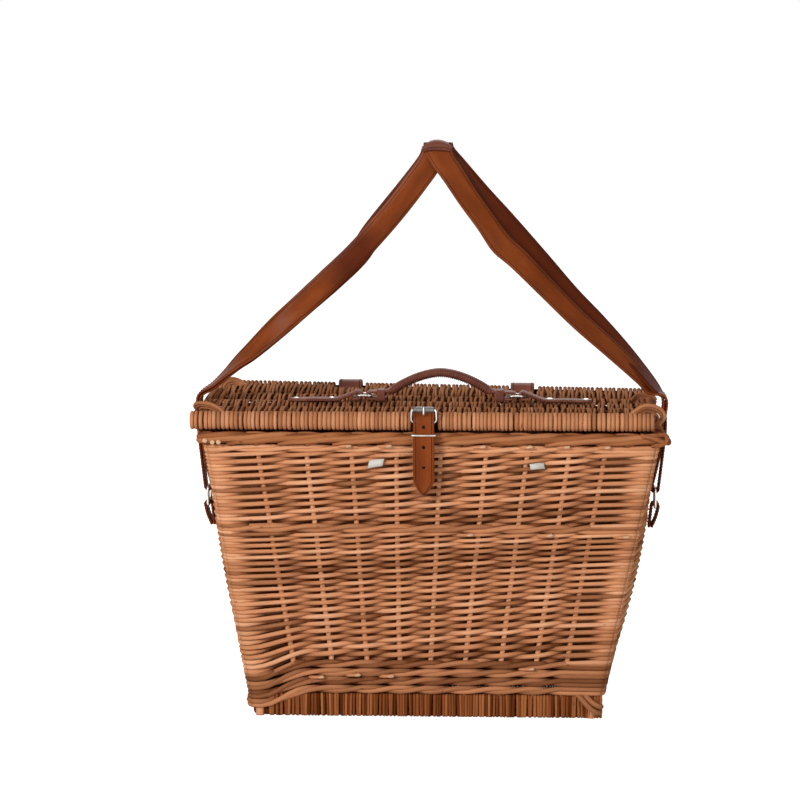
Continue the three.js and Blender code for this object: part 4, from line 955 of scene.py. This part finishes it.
def strap_loop(word, radius, starts, ends):
    """A strap up the front on one side, folded over the top, and down the back on the other side."""
    side, other = (1, "left") if word == "right" else (-1, "right")
    front = strand(f"front_{word}", radius, starts)
    rear = [v[::-1] for v in strand(f"rear_{other}", radius, ends)]
    first, last = front[0][-1], rear[0][0]
    a = np.linspace(0, math.pi, 12)[1:-1]
    centre = first + (last - first) * (1 - np.cos(a))[:, None] / 2
    centre[:, 2] += np.sin(a) * radius
    across = np.broadcast_to(X * side, centre.shape)
    normal = np.stack([0 * a, -np.cos(a), np.sin(a)], 1)
    fold = (centre, across, normal, np.full(len(a), 2 * APEX_HALF))
    centre, across, normal, width = (np.concatenate(v) for v in zip(front, fold, rear))
    sag = np.zeros(len(centre))
    sag[len(front[0]):len(front[0]) + len(a)] = 5.0 * np.sin(a)
    shaded = (word == "left") * (np.arange(len(centre)) < len(front[0]))
    # Painted shadow across the left front strand, as a drop in its tone.
    shadow = 0.85 * np.exp(-((centre[:, 2] - SHADOW_Z) / SHADOW_REACH) ** 2) * shaded
    build = Build()
    outline = [leather_outline(w, STRAP_T, sag=d) for w, d in zip(width, sag)]
    build.sweep(centre, across, normal, outline, FACES * (1 - shadow[:, None]))
    seam = centre - normal * (sag * 0.6)[:, None]
    for edge in (-1, 1):
        for face in (-1, 1):
            stitch_row(build, seam, across, normal, edge * (width / 2 - 2.6), face * (STRAP_T / 2 + 0.05))
    build.make(f"strap_{word}_front", None, TAN_LEATHER, [f"shoulder_strap_{word}_front"],
               ("basket", "shoulder_strap", (0, 0, 0.299), (0, 0, 0.345)))


def apex_keeper():
    """A saddle-shaped piece of leather stitched over the folds."""
    build = Build()
    reach = np.linspace(-1, 1, 25)
    path = np.array([[APEX_X + t * 15.4, 0, FOLD_LINE + 8.6 - 7.0 * abs(t) ** 2.2] for t in reach])
    outside = [(9.6, -8.6), (9.9, -3.5), (8.2, -0.2), (4.6, 1.6), (0, 2.2)]
    inside = [(8.0, -8.6), (8.2, -3.9), (6.6, -1.2), (3.8, 0.2), (0, 0.6)]
    outside = [(-u, v) for u, v in outside] + outside[-2::-1]
    shell = np.array(outside + inside + [(-u, v) for u, v in inside[-2::-1]]) - [0, 2.2]
    across, normal = np.broadcast_to(-Y, path.shape), np.broadcast_to(Z, path.shape)
    build.sweep(path, across, normal, [shell * [1, 1 - 0.52 * t * t] for t in reach], 0.5)
    hem = path - Z * (7.6 * (1 - 0.52 * reach ** 2))[:, None]
    for side in (-1, 1):
        stitch_row(build, hem, across, across * side, side * 9.75, 0.05, radius=0.4)
    build.make("apex_keeper", "shoulder_strap", DARK_LEATHER, ["strap_apex_keeper"])


def wire_loop(centre, u, v, hu, hv, corner, radius):
    """A closed wire, rectangular with round corners, in the plane of u and v."""
    build = Build()
    p, _ = loop_points(hu, hv, corner, 1.2)
    path = np.asarray(centre) + p[:, :1] * np.asarray(u) + p[:, 1:2] * np.asarray(v)
    build.tube(path, radius, np.cross(u, v), 10, 0.5, closed=True)
    return build


def dome(centre, axis, radius, height):
    """A round rivet head."""
    build = Build()
    a = np.linspace(0, math.pi / 2, 7)
    path = np.asarray(centre) + np.asarray(axis) * height * np.sin(a)[:, None]
    radii = np.append(radius * np.cos(a[:-1]), radius * 0.08)
    build.tube(path, radii, X if abs(axis[0]) < 0.9 else Y, 18, 0.5)
    return build


# Side fittings
SIDE_RING_X, SIDE_RING_LOW, SIDE_RING_HIGH = 229.5, 203.0, 222.0
SIDE_TAB_W = 22.0


def strap_leg(word, side):
    """The strap's end, doubled through its side ring."""
    cos, sin = half_turn(0, -180, 13)
    under = [(SIDE_RING_X + 3.54 * c, SIDE_RING_HIGH + 3.54 * s) for c, s in zip(cos, sin)]
    knots = [(STRAP_OUTER, SEAM_Z), (STRAP_OUTER, 280), (236.4, 250)] + under + [
        (STRAP_INNER - 4.0, 252), (STRAP_INNER, 281), (STRAP_INNER, SEAM_Z)]
    build = Build()
    strap_piece(build, smooth([[side * x, 0, z] for x, z in knots], 4), Y, STRAP_W, STRAP_T, 3.0, (-1, 1))
    build.make(f"strap_end_{word}", None, TAN_LEATHER, [f"strap_leg_{word}"],
               (f"side_ring_{word}", "basket", (0, 0, 0.235), (0, 0, 0.285)))


def side_tab(word, side):
    """The leather on the wall that holds a side ring."""
    low, mid = SIDE_RING_LOW - 21, SIDE_RING_LOW - 10.5
    low_x, mid_x = (half(z, 0) + BELLY * math.sin(math.pi * share(z)) for z in (low, mid))
    cos, sin = half_turn(180, 0, 13)
    over = [(SIDE_RING_X + 3.6 * c, SIDE_RING_LOW + 3.6 * s) for c, s in zip(cos, sin)]
    knots = [(low_x + 1.5, low), (mid_x + 1.5, mid)] + over + [(mid_x + 7.4, mid), (low_x + 4.2, low)]
    build = Build()
    strap_piece(build, smooth([[side * x, 0, z] for x, z in knots], 4), Y, SIDE_TAB_W, 2.4, 2.4, (-1, 1))
    build.make(f"ring_tab_{word}", "basket", TAN_LEATHER, [f"side_tab_{word}"])


def make_side_fittings():
    for word, side in (("left", -1), ("right", 1)):
        middle = [side * SIDE_RING_X, 0, (SIDE_RING_LOW + SIDE_RING_HIGH) / 2]
        ring = wire_loop(middle, Y, Z, 14.0, 9.5, 3.0, 1.5)
        ring.make(f"d_ring_{word}", f"side_ring_{word}", STEEL, [f"side_ring_{word}"])
        side_tab(word, side)
        centre = np.mean(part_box(f"side_rivet_{word}"), axis=0) / MM
        out = unit([side * 0.92, 0, -0.39])
        rivet = dome(centre - out * 0.7, out, 3.6, 1.5)
        rivet.make(f"rivet_side_{word}", "basket", STEEL, [f"side_rivet_{word}"])
        strap_leg(word, side)


def hinge_strap(word, x):
    build = Build()
    r = LID_ROD + 0.5 + 1.25
    cos, sin = half_turn(180, 0, 15)
    over = [(LID_EDGE + r * c, LID_Z + r * s) for c, s in zip(cos, sin)]
    ends = [(LID_EDGE + r, LID_Z - 14), (LID_EDGE + r, LID_Z - 28)]
    path = in_plane(x, [(LID_EDGE - r, LID_Z - 20)] + over + ends, 3)
    path = np.where(path[:, 2:] > LID_Z - 4, lid_twist(path), path)
    strap_piece(build, path, X, 25.0, 2.5, faces=(-1, 1), tone=1.0)
    build.make(f"leather_hinge_{word}", "basket", DARK_LEATHER, [f"hinge_strap_{word}"])


# Clasp
HEEL = np.array([CLASP_X, -143.6, LID_Z])  # middle of the buckle's heel bar
ROLL = np.array([CLASP_X, -146.4, LID_Z + 13.2])  # middle of its roller
ROLLER_RADIUS = 2.7
BILLET_W, BILLET_T = 21, 2.2
BILLET_Y, BILLET_END, BILLET_POINT = -148.5, LID_Z - 72, 14
BILLET_HOLES = (4, 24, 44)
KEEPER_Z, KEEPER_BACK, KEEPER_WIRE = LID_Z - 12.1, -145.96, 0.9
CHAPE_T, CHAPE_R = 1.6, 2.51


def billet():
    build = Build()
    r = LID_ROD + 0.5 + BILLET_T / 2
    cos, sin = half_turn(0, 90, 8)
    knots = [(r - LID_EDGE, LID_Z - 5)] + [(r * c - LID_EDGE, LID_Z + r * s) for c, s in zip(cos, sin)] + [
        (-139.5, LID_Z + 10.3), (-145.8, LID_Z + 6.6), (BILLET_Y, LID_Z), (BILLET_Y, LID_Z - 12),
        (BILLET_Y, LID_Z - 24), (BILLET_Y + 2.2, LID_Z - 40),
        (BILLET_Y + 5, LID_Z - 58), (BILLET_Y + 5, BILLET_END)]
    path = in_plane(CLASP_X, knots, 5)
    taper = np.clip(np.clip((path[:, 2] - BILLET_END) / BILLET_POINT, 0, 1) * 1.05, 0, 1)
    width = np.where(path[:, 1] < -LID_EDGE, BILLET_W * np.clip(0.1 + 0.9 * taper ** 0.66, 0, 1), BILLET_W)
    strap_piece(build, path, X, width, BILLET_T, faces=(-1, 1))
    for drop in BILLET_HOLES:
        z = LID_Z - drop
        y = np.interp(z, path[::-1, 2][:40], path[::-1, 1][:40]) - 1.12
        # A near-black capped plug in each hole: painted shade.
        build.tube([[CLASP_X, y - 0.12, z], [CLASP_X, y + 1.5, z]], 1.75, X, 14, 0.5, mat=2)
    build.make("billet_strap", None, ([STRAP, THREAD, HOLE_SHADE], "leather"), ["clasp_strap"],
               ("lid", "clasp_strap", (CLASP_X * MM, -0.1300, 0.3150), (CLASP_X * MM, -0.1475, 0.3040)))


def buckle():
    rise = ROLL - HEEL
    frame_wire = wire_loop((HEEL + ROLL) / 2, X, unit(rise), 12.2, np.linalg.norm(rise) / 2, 3.4, 1.05)
    frame_wire.make("wire_buckle", "buckle", STEEL, ["buckle_frame"])
    roller = Build()
    ends = [2.3, 2.65, ROLLER_RADIUS]
    path = [[CLASP_X + t, ROLL[1], ROLL[2]] for t in np.linspace(-10.6, 10.6, 9)]
    roller.tube(path, ends + [ROLLER_RADIUS] * 3 + ends[::-1], Z, 16, 0.5)
    roller.make("roller_tube", "roller", ([SHADED_ROLLER], "steel_dark"), ["buckle_roller"])
    prong = Build()
    tip_y = ROLL[1] - ROLLER_RADIUS - 0.6 - 0.8
    y, z = HEEL[1:]
    bends = [(y - 2.2, z - 1.2), (y - 0.4, z + 2.3), (y - 3.0, z + 6.0),
             (tip_y + 0.2, z + 10.2), (tip_y, ROLL[2] + 2.3)]
    prong.tube(in_plane(CLASP_X, bends, 6), np.linspace(1.25, 0.85, 25), X, 10, 0.5)
    a = np.linspace(0, 2 * math.pi, 20, endpoint=False)
    eye = HEEL + 2.35 * (np.cos(a)[:, None] * Y + np.sin(a)[:, None] * Z)
    prong.tube(eye, 1.0, X, 8, 0.5, closed=True)
    prong.make("wire_prong", "prong", STEEL, ["buckle_prong"])


def clasp():
    billet()
    buckle()
    front = BILLET_Y - BILLET_T / 2 - 0.3 - KEEPER_WIRE
    middle = [CLASP_X, (KEEPER_BACK + front) / 2, KEEPER_Z]
    keeper = wire_loop(middle, X, Y, 11.8, (KEEPER_BACK - front) / 2, 1.6, KEEPER_WIRE)
    keeper.make("wire_keeper", "basket", STEEL, ["strap_keeper"])
    chape = Build()
    cos, sin = half_turn(180, 0, 13)
    y, z = HEEL[1:]
    knots = [(y - CHAPE_R, z - 10.4)] + [(y + CHAPE_R * c, z + CHAPE_R * s) for c, s in zip(cos, sin)] + [
        (y + CHAPE_R, z - 22)]
    for side in (-1, 1):
        strap_piece(chape, in_plane(CLASP_X + side * 5.8, knots, 3), X, 7.2, CHAPE_T, faces=())
    lower = [(y + CHAPE_R, z - drop) for drop in (4, 12, 22)]
    strap_piece(chape, in_plane(CLASP_X, lower, 3), X, 18.8, CHAPE_T - 0.02, faces=())
    chape.make("buckle_leather", "basket", TAN_LEATHER, ["buckle_chape"])
    rivet = dome([CLASP_X, -142.3, LID_Z - 17], -Y, 3.5, 1.4)
    rivet.make("rivet_chape", "basket", STEEL, ["chape_rivet"])


# Carrying handle
HANDLE_X, HANDLE_W = 9.4, 20
GRIP_RING_Z = PANEL_TOP + 6.8
RING_OUT, RING_IN = 85.0, 71.0
LOOP_R = 3.5  # of the leather round the wire of a ring
GRIP_RISE, PAD_END = 20, 58
TAB_TIP, TAB_POINT = 156.5, 13.5
TAB_RIVETS = ((149, 0), (112, 0.4))


def handle():
    for word, side in (("left", -1), ("right", 1)):
        z = PANEL_TOP + 1.5
        tab = Build()
        cos, sin = half_turn(90, -90, 11)
        knots = [(155, z), (150, z), (143, z + 0.2), (128, z + 0.6), (115, z + 0.5), (105, z + 1.2),
                 (95, GRIP_RING_Z - 0.5)]
        knots += [(RING_OUT - LOOP_R * c, GRIP_RING_Z + LOOP_R * s) for c, s in zip(cos, sin)]
        knots.append((91, GRIP_RING_Z - LOOP_R))
        path = smooth([[HANDLE_X + side * a, 0, b] for a, b in knots], 5)
        reach = np.abs(path[:, 0] - HANDLE_X)
        point = np.sqrt(np.clip((TAB_TIP - reach) / TAB_POINT, 0.1, 1))
        width = HANDLE_W * np.where(reach > TAB_TIP - TAB_POINT, point, 1)
        normal = strap_piece(tab, path, Y, width, 2.6, inset=3.4, tone=1.0, crown=0.9)
        laced = (reach > 90) & (reach < 140) & (path[:, 2] > GRIP_RING_Z - 5.5)
        lace_edges(tab, path[laced], normal[laced], width[laced] / 2, np.full(laced.sum(), 1.3))
        tab.make(f"leather_tab_{word}", "lid", DARK_LEATHER, [f"handle_tab_{word}"])
        for k, (reach, rise) in enumerate(TAB_RIVETS, 1):
            rivet = dome([HANDLE_X + side * reach, 0, z + 1.3 + rise], Z, 3.7, 1.5)
            rivet.make(f"rivet_{word}_{k}", "lid", STEEL, [f"handle_rivet_{word}_{k}"])
        middle = [HANDLE_X + side * (RING_OUT + RING_IN) / 2, 0, GRIP_RING_Z]
        ring = wire_loop(middle, X, Y, (RING_OUT - RING_IN) / 2, 11.8, 3.0, 1.25)
        ring.make(f"grip_ring_{word}", f"handle_ring_{word}", STEEL, [f"handle_ring_{word}"])
        keeper = Build()
        p, out = loop_points(11.0, 5.6, 3.0, 1.2)
        path = [HANDLE_X + side * 61, 0, GRIP_RING_Z] + p[:, :1] * Y + p[:, 1:2] * Z
        normal = out[:, :1] * Y + out[:, 1:2] * Z
        across = np.broadcast_to(X, path.shape)
        keeper.sweep(path, across, normal, leather_outline(8.0, 1.5), 1.0, closed=True)
        keeper.make(f"grip_keeper_{word}", "handle", DARK_LEATHER, [f"handle_keeper_{word}"])
    grip()


def lace_edges(build, path, normal, reach, rise):
    """Short loops of thong close together over both edges of a strap that lies across Y."""
    s = lengths(path)
    for place in np.arange(1.2, s[-1] - 1, 2.3):
        c, n = at_lengths(place, s, path), at_lengths(place, s, normal)
        r, h = np.interp(place, s, reach), np.interp(place, s, rise)
        for side in (-1, 1):
            thong = ((r - 2.0, h), (r - 0.2, h * 0.8), (r + 0.35, 0), (r - 0.4, -h * 0.9))
            build.tube([c + Y * side * out + n * up for out, up in thong], 0.62, n, 5, 1.0)


def grip():
    build = Build()
    right = [(PAD_END - 1.8, -LOOP_R)]
    for c, s in zip(*half_turn(-90, 90, 11)):
        right.append((RING_IN + LOOP_R * c + 1.8 * max(c, 0), LOOP_R * s))
    right += [(62, LOOP_R + 0.1), (56, LOOP_R + 0.6)]
    right += [(52 * s, LOOP_R + GRIP_RISE * (1 - s ** 1.75)) for s in (0.95, 0.8, 0.62, 0.42, 0.2)]
    pts = right + [(0, LOOP_R + GRIP_RISE)] + [(-x, z) for x, z in right[::-1]]
    path = smooth([[HANDLE_X + x, 0, GRIP_RING_Z + z] for x, z in pts], 4)
    reach = np.abs(path[:, 0] - HANDLE_X)
    on_top = path[:, 2] > GRIP_RING_Z
    pad = ease((PAD_END - reach) / 12) * on_top
    width = HANDLE_W - 6.5 * pad
    thick = 2.4 + 6.4 * pad
    across = np.broadcast_to(Y, path.shape)
    normal = np.cross(unit(np.gradient(path, axis=0)), across)
    angles = np.radians([205, 228, 249, 270, 291, 312, 335, 25, 48, 69, 90, 111, 132, 155])
    outline = []
    for w, t, p in zip(width, thick, pad):
        padding = np.stack([w / 2 * np.cos(angles) * 1.05, t / 2 * np.sin(angles) * 1.02], 1)
        outline.append(np.array(leather_outline(w, t)) * (1 - p) + padding * p)
    build.sweep(path, across, normal, outline, 1.0)
    mask = (reach < 56) & on_top
    lace_edges(build, path[mask], normal[mask], width[mask] / 2, thick[mask] / 2)
    mask = (reach < 50) & on_top
    lift = thick[mask].mean() / 2 * 0.80
    for side in (-1, 1):
        offset = side * width[mask] / 2 * 0.62
        stitch_row(build, path[mask], across[mask], normal[mask], offset, lift, radius=0.4)
    padded = build.make("padded_grip", "handle", DARK_LEATHER, ["handle_grip"])


def tape_end(name, x, width, height, slant, z, flip):
    """A frayed end of cotton tape that comes out between two rods."""
    build = Build()
    t = np.linspace(0, 1, 9)
    xs = x + flip * (t - 0.5) * width
    ys = 4.1 - half(z, 1) - 4.5 * np.sin(np.clip(t * 1.15, 0, 1) * math.pi / 2) - 0.6 * np.sin(t * math.pi)
    zs = z + (t - 0.5) * slant * 0.5 + 0.5 * np.sin(t * 3)
    path = lean(np.stack([xs, ys, zs], 1))
    outline = []
    for lower in -height / 2 * (1 - 0.25 * t):
        outline.append([(lower, -0.4), (height / 2, -0.4), (height / 2, 0.4), (lower, 0.4)])
    across = np.broadcast_to(unit([0.25 * flip, 0, 1]), path.shape)
    build.sweep(path, across, np.broadcast_to(-Y, path.shape), outline, 0.5)
    build.make(f"cotton_{name}", "basket", ([TAPE], "cotton"), [name])


# Stage
SOFT_LIGHT, FLOOR_GLOW, FLOOR_GREY = 0.20, 0.90, 0.82
FLOOR_HALF = 14.0
# Lamps, as (name, place, size, watts, colour), turned to the middle of the basket
AIM = (0, 0, 0.22)
LAMPS = (
    ("key", (-1.5, -2.5, 1.4), (0.6, 0.7), 70, (1, 0.98, 0.95)),
    ("fill", (1.7, -2.4, 0.9), (1.0, 1.0), 22, (1, 0.98, 0.96)),
    ("top", (0.1, 1.8, 2.0), (1.2, 1.0), 23, (0.97, 0.98, 1)),
)


def area_light(name, place, size, power, colour):
    data = bpy.data.lights.new(name, "AREA")
    data.shape = "RECTANGLE"
    data.size, data.size_y = size
    data.energy = power
    data.color = colour
    lamp = add_object(name, data)
    lamp.location = place
    lamp.rotation_euler = (Vector(AIM) - Vector(place)).to_track_quat("-Z", "Y").to_euler()


def seen_rays(nodes, link):
    """1 for the rays that see the white background: from the camera, and off or through a surface."""
    path = nodes.new("ShaderNodeLightPath")
    total = path.outputs["Is Camera Ray"]
    for name in ("Is Glossy Ray", "Is Transmission Ray"):
        both = nodes.new("ShaderNodeMath")
        both.operation = "MAXIMUM"
        link(total, both.inputs[0])
        link(path.outputs[name], both.inputs[1])
        total = both.outputs[0]
    return total


def stage():
    scene = bpy.context.scene
    scene.view_settings.view_transform = "Standard"
    world = bpy.data.worlds.new("world")
    scene.world = world
    world.use_nodes = True
    nodes, link = world.node_tree.nodes, world.node_tree.links.new
    nodes.clear()
    out = nodes.new("ShaderNodeOutputWorld")
    mixer = nodes.new("ShaderNodeMixShader")
    link(seen_rays(nodes, link), mixer.inputs[0])
    for socket, colour, strength in ((1, (1, 0.98, 0.96, 1), SOFT_LIGHT), (2, (1, 1, 1, 1), 1.0)):
        background = nodes.new("ShaderNodeBackground")
        background.inputs[0].default_value = colour
        background.inputs[1].default_value = strength
        link(background.outputs[0], mixer.inputs[socket])
    link(mixer.outputs[0], out.inputs[0])

    mesh = bpy.data.meshes.new("floor")
    s = FLOOR_HALF
    mesh.from_pydata([(-s, -s, 0), (s, -s, 0), (s, s, 0), (-s, s, 0)], [], [(0, 1, 2, 3)])
    floor = add_object("floor", mesh)
    p = Paint("floor")
    p.set("Base Color", (FLOOR_GREY, FLOOR_GREY, FLOOR_GREY, 1))
    p.set("Roughness", 0.9)
    glow = p.node("Emission", Strength=FLOOR_GLOW)
    dark = p.node("Emission", Strength=0.0)
    pick = p.node("MixShader")
    add = p.node("AddShader")
    p.link(seen_rays(p.nodes, p.link), pick.inputs[0])
    p.link(dark.outputs[0], pick.inputs[1])
    p.link(glow.outputs[0], pick.inputs[2])
    p.link(p.shader.outputs[0], add.inputs[0])
    p.link(pick.outputs[0], add.inputs[1])
    p.link(add.outputs[0], p.nodes["Material Output"].inputs[0])
    floor.data.materials.append(p.material)
    for lamp in LAMPS:
        area_light(*lamp)


make_basket()
make_lid()
make_base()
hinge_strap("left", -HINGE_X)
hinge_strap("right", HINGE_X)
clasp()
handle()
make_side_fittings()
strap_loop("right", 4.4, APEX_X, 4.5)
strap_loop("left", 1.5, APEX_X - 0.5, 6.5)
apex_keeper()
tape_end("tape_end_left", -54, 15, 8.5, 4, 261, 1)
tape_end("tape_end_right", 106, 14, 6.5, -3, 259, -1)
stage()
